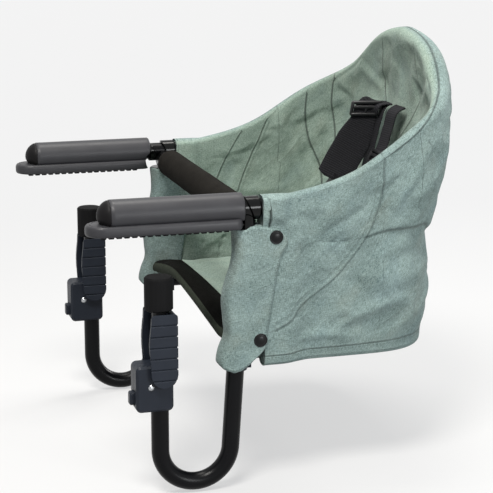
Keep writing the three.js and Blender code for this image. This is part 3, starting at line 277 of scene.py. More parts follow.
webbing = shade("black_webbing", {"Roughness": 0.8, "Specular IOR Level": 0.15}, webPaint)
foam = shade("black_foam", {"Roughness": 0.95, "Specular IOR Level": 0.03}, foamPaint)
tubePaint = moulded("black_tube", 0.13, (4, 4, 6), (8, 9, 11), 0.01, 0.3, 0.1, 0.06)
gripPlastic = moulded("grip_plastic", 0.26, (46, 46, 49), (57, 57, 60), 0.03, 0.42, 0.3, 0.08)
nosePlastic = moulded("nose_plastic", 0.12, (13, 12, 13), (21, 20, 21), 0.03, 0.5, 0.3, 0.1)
rubber = moulded("black_rubber", 0.1, (12, 12, 13), (24, 24, 25), 0.05, 0.75, 0.4, 0.1, 0.5)
glossBlack = moulded("gloss_black", 0.18, (4, 5, 5), (8, 9, 9), 0.006, 0.15, 0.1, 0.06,
                     **{"Coat Weight": 0.05, "Coat Roughness": 0.05})
studBlack = moulded("stud_black", 0.2, (5, 6, 7), (10, 11, 12), 0.006, 0.34, 0.1, 0.05)
clampPlastic = moulded("clamp_plastic", 0.18, (25, 29, 37), (37, 42, 51), 0.035, 0.42, 0.25, 0.1, 0.9)
leverRubber = moulded("lever_rubber", 0.16, (27, 31, 39), (42, 47, 56), 0.05, 0.55, 0.35, 0.1, 0.7)
steel = moulded("bright_steel", 0.5, (150, 152, 156), (196, 198, 200), 0.01, 0.3, 0.1, 0.3, 0.3, Metallic=1.0)
jackSteel = moulded("black_jack", 0.25, (10, 10, 12), (20, 20, 22), 0.02, 0.34, 0.1, 0.2, 0.4)
slidePlastic = moulded("slide_plastic", 0.45, (14, 14, 16), (24, 24, 26), 0.02, 0.35, 0.2, 0.1)
fibreboard = moulded("black_board", 0.2, (16, 16, 17), (30, 30, 31), 0.08, 0.75, 0.6, 0.1)
print("materials made")


class Shape:
    # points in millimetres and faces, gathered for one piece
    def __init__(self):
        self.points, self.faces, self.uvs, self.slots = [], [], [], []
        self.count = 0

    def grid(self, points, wrapRows=False, wrapCols=False, uv=None, slot=0, flip=False):
        points = np.asarray(points, float)
        rows, cols = points.shape[:2]
        ids = self.count + np.arange(rows * cols).reshape(rows, cols)
        self.points.append(points.reshape(-1, 3))
        self.uvs.append(np.zeros((rows * cols, 2)) if uv is None else np.asarray(uv, float).reshape(-1, 2))
        self.count += rows * cols
        span = np.concatenate([ids, ids[:1]]) if wrapRows else ids
        span = np.concatenate([span, span[:, :1]], 1) if wrapCols else span
        quads = np.stack([span[:-1, :-1], span[:-1, 1:], span[1:, 1:], span[1:, :-1]], -1).reshape(-1, 4)
        self.addFaces((quads[:, ::-1] if flip else quads).tolist(), slot)
        return ids

    def addFaces(self, faces, slot=0):
        self.faces += faces
        self.slots += [slot] * len(faces)

    def cap(self, ring, slot=0, flip=False):
        # close a ring with strips from one half of it to the other
        ring = np.asarray(ring)[::-1] if flip else np.asarray(ring)
        last = len(ring) - 1
        k = np.arange((last - 1) // 2)
        self.addFaces(np.stack([ring[k], ring[k + 1], ring[last - 1 - k], ring[last - k]], 1).tolist(), slot)
        k = (last - 1) // 2
        self.addFaces([ring[k:last - k + 1].tolist()], slot)

    def solid(self, points, flip=False, uv=None):
        # rings closed over both ends
        ids = self.grid(points, wrapCols=True, uv=uv, flip=flip)
        self.cap(ids[0], flip=not flip)
        self.cap(ids[-1], flip=flip)

    def piece(self, name, body, materials, replaced=(), sharp=None):
        mesh = bpy.data.meshes.new(name)
        mesh.from_pydata((np.concatenate(self.points) * toMetres).tolist(), [], self.faces)
        mesh.polygons.foreach_set("use_smooth", np.ones(len(mesh.polygons), bool))
        for material in materials:
            mesh.materials.append(material)
        mesh.polygons.foreach_set("material_index", np.array(self.slots, np.int32))
        layer = mesh.uv_layers.new(name="weave")
        corner = np.empty(len(mesh.loops), np.int32)
        mesh.loops.foreach_get("vertex_index", corner)
        layer.data.foreach_set("uv", (np.concatenate(self.uvs)[corner] * toMetres).ravel())
        mesh.validate()
        if sharp:
            mesh.set_sharp_from_angle(angle=math.radians(sharp))
        made = bpy.data.objects.new(name, mesh)
        scene.collection.objects.link(made)
        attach(made, body)
        if replaced:
            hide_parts(*replaced)
        return made


def smooth(value):
    value = np.clip(value, 0.0, 1.0)
    return value * value * (3.0 - 2.0 * value)


def ramp(value, start, over):
    # up from nought at the start to one
    return smooth((value - start) / over)


def curveThrough(pairs, places):
    # cubic through pairs of place and value, with free ends
    at, value = np.array(pairs, float).T
    places = np.asarray(places, float)
    step = np.diff(at)
    rise = np.diff(value) / step
    slope = np.empty_like(value)
    slope[1:-1] = (rise[:-1] * step[1:] + rise[1:] * step[:-1]) / (step[:-1] + step[1:])
    slope[0] = 1.5 * rise[0] - 0.5 * slope[1]
    slope[-1] = 1.5 * rise[-1] - 0.5 * slope[-2]
    k = np.clip(np.searchsorted(at, places) - 1, 0, len(at) - 2)
    t = (places - at[k]) / step[k]
    return ((2 * t**3 - 3 * t**2 + 1) * value[k] + (t**3 - 2 * t**2 + t) * step[k] * slope[k]
            + (-2 * t**3 + 3 * t**2) * value[k + 1] + (t**3 - t**2) * step[k] * slope[k + 1])


def runAlong(points):
    # length along a line up to each of its points
    return np.concatenate([[0.0], np.cumsum(np.linalg.norm(np.diff(points, axis=0), axis=1))])


def pathThrough(points, count):
    # evenly spaced points on a smooth line through the given ones
    points = np.array(points, float)
    run = runAlong(points)
    fine = np.linspace(0.0, run[-1], count * 8)
    line = np.stack([curveThrough(np.stack([run, points[:, k]], 1), fine) for k in range(3)], 1)
    length = runAlong(line)
    even = np.linspace(0.0, length[-1], count)
    return np.stack([np.interp(even, length, line[:, k]) for k in range(3)], 1)


def bothHalves(line):
    # half a plan and its mirror image
    return np.concatenate([line, (line * (-1, 1))[-2::-1]])


def unit(vectors):
    return vectors / np.maximum(np.linalg.norm(vectors, axis=-1, keepdims=True), 1e-9)


def ringFrames(path):
    # two directions across the path at each point, carried along without twist
    along = unit(np.gradient(path, axis=0))
    first = np.cross(along[0], (0.31, 0.52, 0.79))
    across = np.empty_like(path)
    for k, heading in enumerate(along):
        first = first - heading * (first @ heading)
        first = first / np.linalg.norm(first)
        across[k] = first
    return across, np.cross(along, across)


def ripple(first, second, seed):
    # soft unevenness of about one, made of a few waves in fixed random directions
    rng = np.random.default_rng(seed)
    total = np.zeros(np.broadcast(first, second).shape)
    longest = 120.0
    for length in (longest, 74.0, 47.0, 31.0):
        for _ in range(3):
            turn, phase = rng.uniform(0, math.pi), rng.uniform(0, 2 * math.pi)
            wave = (first * math.cos(turn) + second * math.sin(turn)) * 2 * math.pi / length
            total = total + np.sin(wave + phase) * length / longest
    return total / 3.0


def ringTurn(count):
    # the angles of a ring's points
    return np.linspace(0, 2 * math.pi, count, endpoint=False)


def tubeWall(shape, path, radius, count):
    # hollow tube along a path, closed over both ends
    across, upward = ringFrames(path)
    turn = ringTurn(count)
    spoke = across[:, None] * np.cos(turn)[None, :, None] + upward[:, None] * np.sin(turn)[None, :, None]
    outer = path[:, None] + spoke * radius
    inner = path[:, None] + spoke * (radius - tubeThick)
    lip = dict(outer=0.6, inner=0.4, proud=0.6)

    def rounded(end, beside):
        # the edge of one end, standing a little proud
        proud = unit(path[end] - path[beside]) * lip["proud"]
        return (outer[end] * lip["outer"] + inner[end] * lip["inner"] + proud)[None]
    shape.grid(np.concatenate([outer, rounded(-1, -2), inner[::-1], rounded(0, 1)]), wrapRows=True, wrapCols=True)


def turned(shape, profile, centre, axis, count=48, mould=None):
    # solid of revolution: profile pairs of radius and place along the axis, then moulded against its neighbours
    profile, axis = np.array(profile, float), np.array(axis, float)
    turn = ringTurn(count)
    side = np.cross(axis, (0.3, 0.5, 0.8))
    side = side / np.linalg.norm(side)
    other = np.cross(axis, side)
    spoke = side * np.cos(turn)[:, None] + other * np.sin(turn)[:, None]
    rows = np.array(centre, float) + axis * profile[:, 1, None, None] + spoke * profile[:, 0, None, None]
    shape.grid(mould(rows) if mould else rows, wrapCols=True)


# Frame sizes, as in the solids
span, armZ, tubeRadius, tubeThick = 195.0, 22.0, 10.0, 1.5
drawnOut = {"left": 0.0, "right": 14.6}
leg = dict(top=-4.0, lean=0.065, bendZ=-250.6, bendY=0.95, frontY=-80.2, frontTop=-186.0)
legTop = leg["bendY"] + leg["lean"] * (leg["top"] - leg["bendZ"])
mitre = dict(y=21.2, slope=0.44)
socket = dict(y=20.0, z=11.3, radius=12.5, clear=13.1)
# the press studs' places back along the side, and their heights
studs = {"upper": (50.0, -10.0), "lower": (32.0, -126.0)}


def legPath():
    fall = np.array([-leg["lean"], -1.0]) / math.hypot(leg["lean"], 1.0)
    inward = np.array([fall[1], -fall[0]])
    radius = (leg["bendY"] - leg["frontY"]) / (1.0 - inward[0])
    centre = np.array([leg["bendY"], leg["bendZ"]]) + radius * inward
    start = math.atan2(-inward[1], -inward[0])
    turn = start - (math.pi + start) * np.linspace(0, 1, 40)
    bend = np.stack([centre[0] + radius * np.cos(turn), centre[1] + radius * np.sin(turn)], 1)
    top = np.array([legTop, leg["top"]])
    upright = top + (bend[0] - top) * np.linspace(0, 0.98, 14)[:, None]
    front = bend[-1] + (np.array([leg["frontY"], leg["frontTop"]]) - bend[-1]) * np.linspace(0.04, 1, 6)[:, None]
    return np.concatenate([upright, bend, front])


def addTubes():
    upright = legPath()
    arm = dict(front=-135, rear=64, count=12, round=40)
    for name, sign in sides.items():
        run = np.linspace(arm["front"], arm["rear"], arm["count"]) - drawnOut[name]
        level = np.column_stack([run, np.full(arm["count"], armZ)])
        for kind, body, line in (("leg_tube", "seat_frame", upright), ("arm_tube", "arm_" + name, level)):
            shape = Shape()
            tubeWall(shape, np.column_stack([np.full(len(line), sign * span), line]), tubeRadius, arm["round"])
            shape.piece(f"{kind}_skin_{name}", body, [tubePaint], [f"{kind}_{name}"])


def addFoam():
    # squeezed softly, so the skin isn't quite straight
    size = dict(radius=17.0, end=155.0, soft=6.5, y=18.8, z=12.2, hole=9.6, uneven=0.18, girth=15.0)
    place = np.concatenate([[-1.0, -1.0], np.linspace(-1, 1, 90), [1.0, 1.0]]) * size["end"]
    rim = np.clip((size["end"] - np.abs(place)) / size["soft"], 0, 1)
    radius = size["radius"] - size["soft"] * (1 - np.sqrt(1 - (1 - rim) ** 2))
    radius[[0, -1]] = size["hole"]
    turn = ringTurn(48)
    wave = size["uneven"] * ripple(place[:, None], turn[None] * size["girth"], 4)
    wave[:3], wave[-3:] = 0.0, 0.0
    reach = radius[:, None] + wave
    rows = np.stack([np.broadcast_to(place[:, None], reach.shape), size["y"] + reach * np.cos(turn),
                     size["z"] + reach * np.sin(turn)], -1)
    shape = Shape()
    shape.grid(rows, wrapCols=True)
    made = shape.piece("crossbar_foam_skin", "seat_frame", [foam], ["crossbar_foam"])


def addGrips():
    # round grip with a dark nose, on a flange with a groove above it
    grip = dict(radius=17.5, front=-134.0, rear=14.0, nose=13.0, under=0.72, keel=8.0, sunk=1.5, bend=0.3, tip=1.54,
                notch=5.0)
    flange = dict(half=20.0, tip=-160.0, rear=12.0, corner=9.0, base=1.3)
    # steps of the flange's edge: how far in, how far up
    profile = [(3.0, 0.0), (1.2, 0.4), (0.3, 1.6), (0.0, 4.0), (0.0, 7.6), (0.5, 9.8), (1.5, 11.3), (2.8, 11.9),
               (4.0, 11.9), (4.8, 11.3), (5.3, 10.4), (5.8, 11.6), (9.0, 12.4)]
    turn = np.linspace(math.pi + grip["under"], -grip["under"], 45)
    low = -grip["radius"] * math.sin(grip["under"]) - grip["sunk"]
    ringX = np.concatenate([[-grip["keel"]], grip["radius"] * np.cos(turn), [grip["keel"]]])
    ringZ = np.concatenate([[low], grip["radius"] * np.sin(turn), [low]])
    # rings of the body from its closed rear to the crease, and of the nose from there
    rear, front = grip["rear"], grip["front"]
    body = np.concatenate([[rear] * 4, [rear - 0.5], np.linspace(rear - 1.5, front + 0.8, 40), [front]])
    bodyScale = np.ones(len(body))
    bodyScale[:5], bodyScale[-1] = (0.03, 0.3, 0.6, 0.95, 0.985), 0.955
    bend = np.linspace(grip["bend"], grip["tip"], 14)
    start = math.sin(grip["bend"])
    nose = front - 0.2 - grip["nose"] * (np.sin(bend) - start) / (1 - start)
    noseScale = np.cos(bend) / math.cos(grip["bend"]) * 0.985
    noseScale[0] = 0.95
    # the flange's outline: two rounded corners behind, a half round in front
    side, tight = flange["half"], flange["corner"]
    corner, wide = np.linspace(0, math.pi / 2, 10), np.linspace(0, math.pi, 30)
    behind = np.stack([np.cos(corner), np.sin(corner)], 1) * tight + (side - tight, flange["rear"] - tight)
    ahead = np.stack([-side * np.cos(wide), flange["tip"] + side - side * np.sin(wide)], 1)
    line = np.concatenate([behind, (behind * (-1, 1))[::-1], ahead])
    heading = np.roll(line, -1, 0) - np.roll(line, 1, 0)
    out = unit(np.stack([heading[:, 1], -heading[:, 0]], 1))
    for name, sign in sides.items():
        shift = drawnOut[name]

        def rings(run, share):
            x, z = sign * span + ringX * share[:, None], armZ + ringZ * share[:, None]
            return np.stack([x, np.broadcast_to(run[:, None] - shift, x.shape), z], -1)

        def notched(points):
            # scalloped round the cross bar's socket, which it meets when the arm is pushed home
            y, lift = points[..., 1] + shift, points[..., 2] - socket["z"]
            limit = socket["y"] - np.sqrt(np.maximum(socket["clear"] ** 2 - lift ** 2, 0))
            inside = (sign * points[..., 0] < span - grip["notch"]) & (np.abs(lift) < socket["clear"])
            points[..., 1] = np.where(inside, np.minimum(y, limit), y) - shift
            return points
        shape = Shape()
        ids = shape.grid(notched(rings(body, bodyScale)), wrapCols=True, flip=True)
        shape.cap(ids[0])
        ids = shape.grid(rings(nose, noseScale), wrapCols=True, slot=1, flip=True)
        shape.cap(ids[-1], 1, True)
        edge = [np.column_stack([line - out * inset + (sign * span, -shift),
                                 np.full(len(line), flange["base"] + lift)]) for inset, lift in profile]
        shape.solid(notched(np.stack(edge)))
        shape.piece("grip_shell_" + name, "arm_" + name, [gripPlastic, nosePlastic], ["arm_grip_" + name], sharp=50)


def mitredRing(shape, sign, start, end, shift, radius, bore):
    # collar between two ends given as functions of height, with its bore
    turn = ringTurn(64)
    rows = []
    for reach, place, nudge in ((bore, start, 0.8), (radius - 1.0, start, 0.0), (radius, start, 1.0),
                                (radius, end, -0.8), (radius - 0.8, end, 0.0), (bore, end, 0.0)):
        z = armZ + reach * np.sin(turn)
        rows.append(np.stack([sign * span + reach * np.cos(turn), place(z) + nudge - shift, z], 1))
    shape.grid(np.array(rows), wrapRows=True, wrapCols=True, flip=True)


def addCorners():
    joint = dict(radius=13.0, bore=10.3, clear=1.2, gap=0.15, grip=14.3, rear=33.0, socketIn=150.0, footLow=-34.0,
                 shelf=0.8, back=14.7)
    radius, bore, room = joint["radius"], joint["bore"], joint["radius"] + joint["clear"]
    # radius and place along the axis: the cross bar's socket, and the foot over the upright
    cup = socket["radius"]
    cupProfile = [(10.4, 0.0), (cup - 0.8, 0.0), (cup, 0.8), (cup, 36.0), (cup - 3.0, 38.5), (0.5, 39.0)]
    footProfile = [(10.6, 0.0), (12.2, 0.0), (13.0, 0.8), (13.0, 34.6), (13.0, 35.0), (13.0, 56.0), (9.0, 56.0),
                   (0.3, 56.0)]

    def cut(z):
        return mitre["y"] - mitre["slope"] * (z - armZ)

    def besideCollar(points):
        # the socket ends against the collar's round
        limit = span - np.sqrt(np.maximum(room ** 2 - (points[..., 2] - armZ) ** 2, 0))
        points[..., 0] = np.clip(points[..., 0], -limit, limit)
        return points

    def belowGrip(points):
        # cut back in front, where the flange comes when the arm is pushed home, and hollowed below the collar
        y, z = points[..., 1], points[..., 2]
        points[..., 1] = np.where(z > joint["shelf"], np.maximum(y, joint["back"]), y)
        hollow = np.sqrt(np.maximum(room ** 2 - (np.abs(points[..., 0]) - span) ** 2, 0))
        points[..., 2] = np.minimum(z, armZ - hollow)
        return points
    for name, sign in sides.items():
        shape = Shape()
        mitredRing(shape, sign, lambda z: np.full_like(z, joint["grip"]), lambda z: cut(z) - joint["gap"],
                   drawnOut[name], radius, bore)
        shape.piece("collar_skin_" + name, "arm_" + name, [glossBlack], ["arm_collar_" + name], sharp=40)
        shape = Shape()
        mitredRing(shape, sign, lambda z: cut(z) + joint["gap"], lambda z: np.full_like(z, joint["rear"]),
                   0.0, radius, bore)
        cupEnd = (sign * joint["socketIn"], socket["y"], socket["z"])
        turned(shape, cupProfile, cupEnd, (sign, 0, 0), 56, besideCollar)
        turned(shape, footProfile, (sign * span, legTop, joint["footLow"]), (0, 0, 1), 56, belowGrip)
        shape.piece("corner_skin_" + name, "seat_frame", [glossBlack], ["corner_joint_" + name], sharp=40)


def addHoops():
    # tube under the seat, and the caps of the press studs
    size = dict(half=174.0, back=233.5, power=4.0, front=12.0, lead=68.0, z=-150.0, radius=7.0, studX=208.8)
    x, y = planLine(size["half"], size["back"], size["power"], np.linspace(0, 1, 60))
    lead = np.stack([np.full(6, size["half"]), np.linspace(size["front"], size["lead"], 6)], 1)
    half = np.concatenate([lead, np.stack([x, y], 1)])
    line = bothHalves(half)
    shape = Shape()
    tubeWall(shape, np.column_stack([line, np.full(len(line), size["z"])]), size["radius"], 32)
    shape.piece("base_hoop_skin", "seat_frame", [tubePaint], ["base_hoop"])
    stud = [(0.05, -0.4), (7.4, -0.4), (7.9, 0.3), (7.9, 1.0), (7.4, 1.7), (6.8, 1.85), (6.4, 1.6), (5.8, 1.8),
            (5.0, 2.3), (3.4, 2.8), (1.6, 3.0), (0.05, 3.05)]
    for name, sign in sides.items():
        for level, (at, z) in studs.items():
            shape = Shape()
            turned(shape, stud, (sign * size["studX"], at, z), (sign, 0, 0))
            shape.piece(f"stud_{level}_{name}", "seat_frame", [studBlack], [f"snap_{level}_{name}"])


# Padded seat wall
wall = dict(hem=-154.0, rim=36.0, hemHalf=188.0, rimHalf=196.0, bulge=3.4, back=254.5, front=70.0, corner=135.0,
            hemPower=4.0, rimPower=3.45, straight=0.28, crest=0.032, lead=35.5, side=14.0, rear=28.0,
            rises=[(0, 0), (0.2, 19.7), (0.4, 63), (0.6, 99.5), (0.8, 144), (1, 159)],
            leans=[(0, 0), (0.2, -0.7), (0.4, 1), (0.6, 18.2), (0.8, 32.6), (0.93, 30.3), (1, 27.5)])


def planLine(half, back, power, share):
    # half of a plan from its front: a straight side, then part of a superellipse
    turn = np.clip((share - wall["straight"]) / (1 - wall["straight"]), 0, 1) * math.pi / 2
    flat = share < wall["straight"]
    x = np.where(flat, half, half * np.maximum(0, np.cos(turn)) ** (2 / power))
    y = np.where(flat, wall["front"] + (wall["corner"] - wall["front"]) * share / wall["straight"],
                 wall["corner"] + (back - wall["corner"]) * np.sin(turn) ** (2 / power))
    return x, y


def wallHeight(along):
    # from the hem to the rim, at shares of the half wall
    return wall["rim"] + curveThrough(wall["rises"], np.clip(along, 0, 1)) - wall["hem"]


def wallRow(level, along):
    # one level of the left half wall: points, outward directions, heights and its length
    half = wall["hemHalf"] + (wall["rimHalf"] - wall["hemHalf"]) * level + wall["bulge"] * math.sin(math.pi * level)
    back = wall["back"] + curveThrough(wall["leans"], level)
    power = wall["hemPower"] + (wall["rimPower"] - wall["hemPower"]) * smooth(level)
    x, y = planLine(half, back, power, np.linspace(0, 1, 801))
    x[-1] = 0.0
    run = np.concatenate([[0.0], np.cumsum(np.hypot(np.diff(x), np.diff(y)))])
    length = run[-1]
    at = np.clip(along, 0, 1) * length

    def spot(place):
        return np.stack([np.interp(place, run, x), np.interp(place, run, y)], -1)
    point = spot(at)
    step = 0.004 * length
    ahead = spot(np.minimum(length, at + step)) - spot(np.maximum(0, at - step))
    out = unit(np.stack([ahead[..., 1], -ahead[..., 0]], -1))
    out = np.where((along > 0.996)[..., None], (0.0, 1.0), out)
    point[..., 1] += np.minimum(along, 0) * length
    return point, out, wall["hem"] + level * wallHeight(along), length


# Sewn lines as pairs of share round the wall and level, on the outside or the inside, upright or level
sewn = {
    "diagonal": dict(outside=True, upright=True, pinch=1.0, line=[
        (-0.03, 0.2), (0, 0.25), (0.015, 0.312), (0.05, 0.388), (0.082, 0.463), (0.11, 0.562), (0.125, 0.619),
        (0.135, 0.681), (0.142, 0.756), (0.147, 0.825), (0.147, 0.9), (0.148, 0.97)]),
    "pocket": dict(outside=True, upright=False, pinch=0.7, line=[
        (0.125, 0.619), (0.16, 0.6), (0.21, 0.55), (0.245, 0.525), (0.275, 0.47), (0.33, 0.445), (0.42, 0.425),
        (0.501, 0.42)]),
    "hemline": dict(outside=True, upright=False, pinch=0.6, line=[
        (-0.06, 0.046), (0.1, 0.045), (0.3, 0.04), (0.501, 0.04)]),
    # the slit shapes nothing; it only carries painted shade for a small shadowed opening
    "slit": dict(outside=True, upright=True, pinch=0.0, line=[
        (-0.038, 0.93), (-0.037, 0.9), (-0.037, 0.86), (-0.038, 0.82)]),
    "inside1": dict(outside=False, upright=True, pinch=1.0, line=[
        (0.205, 1.0), (0.198, 0.856), (0.207, 0.713), (0.233, 0.562), (0.25, 0.4)]),
    "inside2": dict(outside=False, upright=True, pinch=1.0, line=[
        (0.264, 1.0), (0.255, 0.944), (0.25, 0.825), (0.262, 0.669), (0.27, 0.5)]),
    "inside3": dict(outside=False, upright=True, pinch=0.8, line=[
        (0.13, 1.0), (0.112, 0.894), (0.092, 0.763), (0.075, 0.613), (0.06, 0.45)]),
    "inside4": dict(outside=False, upright=True, pinch=0.8, line=[
        (0.08, 0.988), (0.055, 0.869), (0.032, 0.7), (0.02, 0.55)]),
    "inside5": dict(outside=False, upright=True, pinch=1.0, line=[
        (0.43, 1.0), (0.424, 0.906), (0.417, 0.812), (0.442, 0.7), (0.47, 0.6), (0.478, 0.4), (0.478, 0.2)]),
}
# Soft folds: height of the fold, its width, and its line
outerFolds = [
    (2.6, 8, [(0.2, 0.12), (0.25, 0.17), (0.31, 0.22)]), (2.0, 7, [(0.09, 0.16), (0.14, 0.22), (0.2, 0.24)]),
    (2.2, 9, [(0.17, 0.36), (0.22, 0.33), (0.28, 0.34)]), (1.8, 7, [(0.24, 0.08), (0.3, 0.11), (0.36, 0.1)]),
    (2.4, 9, [(0.21, 0.7), (0.25, 0.76), (0.28, 0.86)]), (2.2, 8, [(0.17, 0.72), (0.2, 0.8), (0.22, 0.9)]),
    (-1.8, 6, [(0.05, 0.7), (0.08, 0.76), (0.12, 0.78)]), (2.0, 8, [(0.3, 0.62), (0.33, 0.7), (0.33, 0.82)]),
    (-2.0, 7, [(0.13, 0.45), (0.18, 0.44), (0.25, 0.42)]), (1.6, 6, [(0.02, 0.12), (0.07, 0.12), (0.12, 0.09)]),
]
innerFolds = [
    (-4.6, 12, [(0.212, 0.64), (0.222, 0.56), (0.236, 0.48), (0.247, 0.38)]),
    (6.5, 9, [(0.18, 0.72), (0.188, 0.656), (0.199, 0.569), (0.212, 0.5), (0.221, 0.456)]),
    (-4.0, 7, [(0.235, 0.7), (0.242, 0.6), (0.25, 0.5)]),
    (3.0, 9, [(0.335, 0.97), (0.37, 0.88), (0.41, 0.8)]), (-2.6, 6, [(0.35, 0.94), (0.39, 0.85), (0.43, 0.79)]),
    (2.4, 9, [(0.23, 0.95), (0.225, 0.8), (0.23, 0.62)]), (2.2, 10, [(0.155, 0.95), (0.15, 0.78), (0.16, 0.6)]),
    (-2.0, 7, [(0.3, 0.9), (0.3, 0.75), (0.32, 0.6)]), (1.8, 8, [(0.06, 0.6), (0.1, 0.55), (0.16, 0.5)]),
]


def lineOnWall(line, outside):
    # a sewn line in lengths along the wall and down from the crest
    pairs = np.array(line, float)
    order = np.arange(len(pairs))
    steps = np.linspace(0, len(pairs) - 1, 8 * (len(pairs) - 1) + 1)
    spots = []
    for u, at in zip(*(curveThrough(np.stack([order, column], 1), steps) for column in pairs.T)):
        length = wallRow(at, np.array([2 * u]))[3]
        tall = wallHeight(2 * u)
        drop = max(0.0, (1 - wall["crest"] - at) * tall) + wall["crest"] * tall * math.pi / 2
        spots.append((2 * u * length, drop if outside else -drop))
    return np.array(spots)


def nearest(spots, first, second):
    # distance to a line of spots, how far along it, and its length
    best = np.full(first.shape, 1e9)
    place = np.zeros(first.shape)
    run = 0.0
    for start, end in zip(spots[:-1], spots[1:]):
        step = end - start
        size = float(step @ step)
        if size == 0.0:
            continue
        share = np.clip(((first - start[0]) * step[0] + (second - start[1]) * step[1]) / size, 0, 1)
        gap = np.hypot(first - start[0] - share * step[0], second - start[1] - share * step[1])
        place = np.where(gap < best, run + share * math.sqrt(size), place)
        best = np.minimum(best, gap)
        run += math.sqrt(size)
    return best, place, run


def awayFrom(item, near, depth):
    # distance to a sewn line, negative on one side, growing fast past its ends so that it stops there
    reach, steep, ease = 60.0, 40, 5.0
    spots = lineOnWall(item["line"], item["outside"])
    head = spots[0] + unit(spots[0] - spots[3]) * reach
    tail = spots[-1] + unit(spots[-1] - spots[-4]) * reach
    spots = np.concatenate([[head], spots, [tail]])
    gap, place, total = nearest(spots, near, depth)
    past = np.maximum(reach - place, place - (total - reach))
    across, along = (near, depth) if item["upright"] else (depth, near)
    column = 1 if item["upright"] else 0
    order = np.argsort(spots[:, column])
    beside = across > np.interp(along, spots[order, column], spots[order, 1 - column])
    return np.where(beside, gap, -gap) * (1 + steep * smooth(past / ease))


def swell(made, held, pressure, grow, cap, frames=20):
    # let the padding swell between the held points, then keep the result
    group = made.vertex_groups.new(name="held")
    for weight in np.unique(held):
        if weight > 0:
            group.add(np.flatnonzero(held == weight).tolist(), float(weight), "REPLACE")
    cloth = made.modifiers.new("padding", "CLOTH")
    rules = dict(quality=4, mass=0.3, bending_stiffness=0.6, tension_stiffness=14.0, compression_stiffness=14.0,
                 use_pressure=True, uniform_pressure_force=pressure, shrink_min=-grow, vertex_group_mass="held")
    for key, value in rules.items():
        setattr(cloth.settings, key, value)
    cloth.settings.effector_weights.gravity = 0.0
    cloth.collision_settings.use_collision = False
    cloth.point_cache.frame_start, cloth.point_cache.frame_end = 1, frames
    for k in range(1, frames + 1):
        scene.frame_set(k)
    moved = made.evaluated_get(bpy.context.evaluated_depsgraph_get()).to_mesh()
    count = len(made.data.vertices)
    after, before = np.empty(count * 3), np.empty(count * 3)
    moved.vertices.foreach_get("co", after)
    made.data.vertices.foreach_get("co", before)
    made.modifiers.remove(cloth)
    scene.frame_set(1)
    step = (after - before).reshape(-1, 3)
    size = np.linalg.norm(step, axis=1, keepdims=True)
    step *= np.minimum(1.0, cap * toMetres / np.maximum(size, 1e-9))
    made.data.vertices.foreach_set("co", (before.reshape(-1, 3) + step).ravel())
    made.data.update()
    made.vertex_groups.remove(group)
    print(made.name, "swelled by", round(float(np.linalg.norm(step, axis=1).max()) / toMetres, 1), "mm")


def refine(made):
    # one step of smooth subdivision
    finer = made.modifiers.new("finer", "SUBSURF")
    finer.levels, finer.render_levels = 1, 1


def label(made, name, values):
    # numbers at the points, for the material to read
    layer = made.data.attributes.new(name, "FLOAT", "POINT")
    layer.data.foreach_set("value", np.asarray(values, np.float32).ravel())


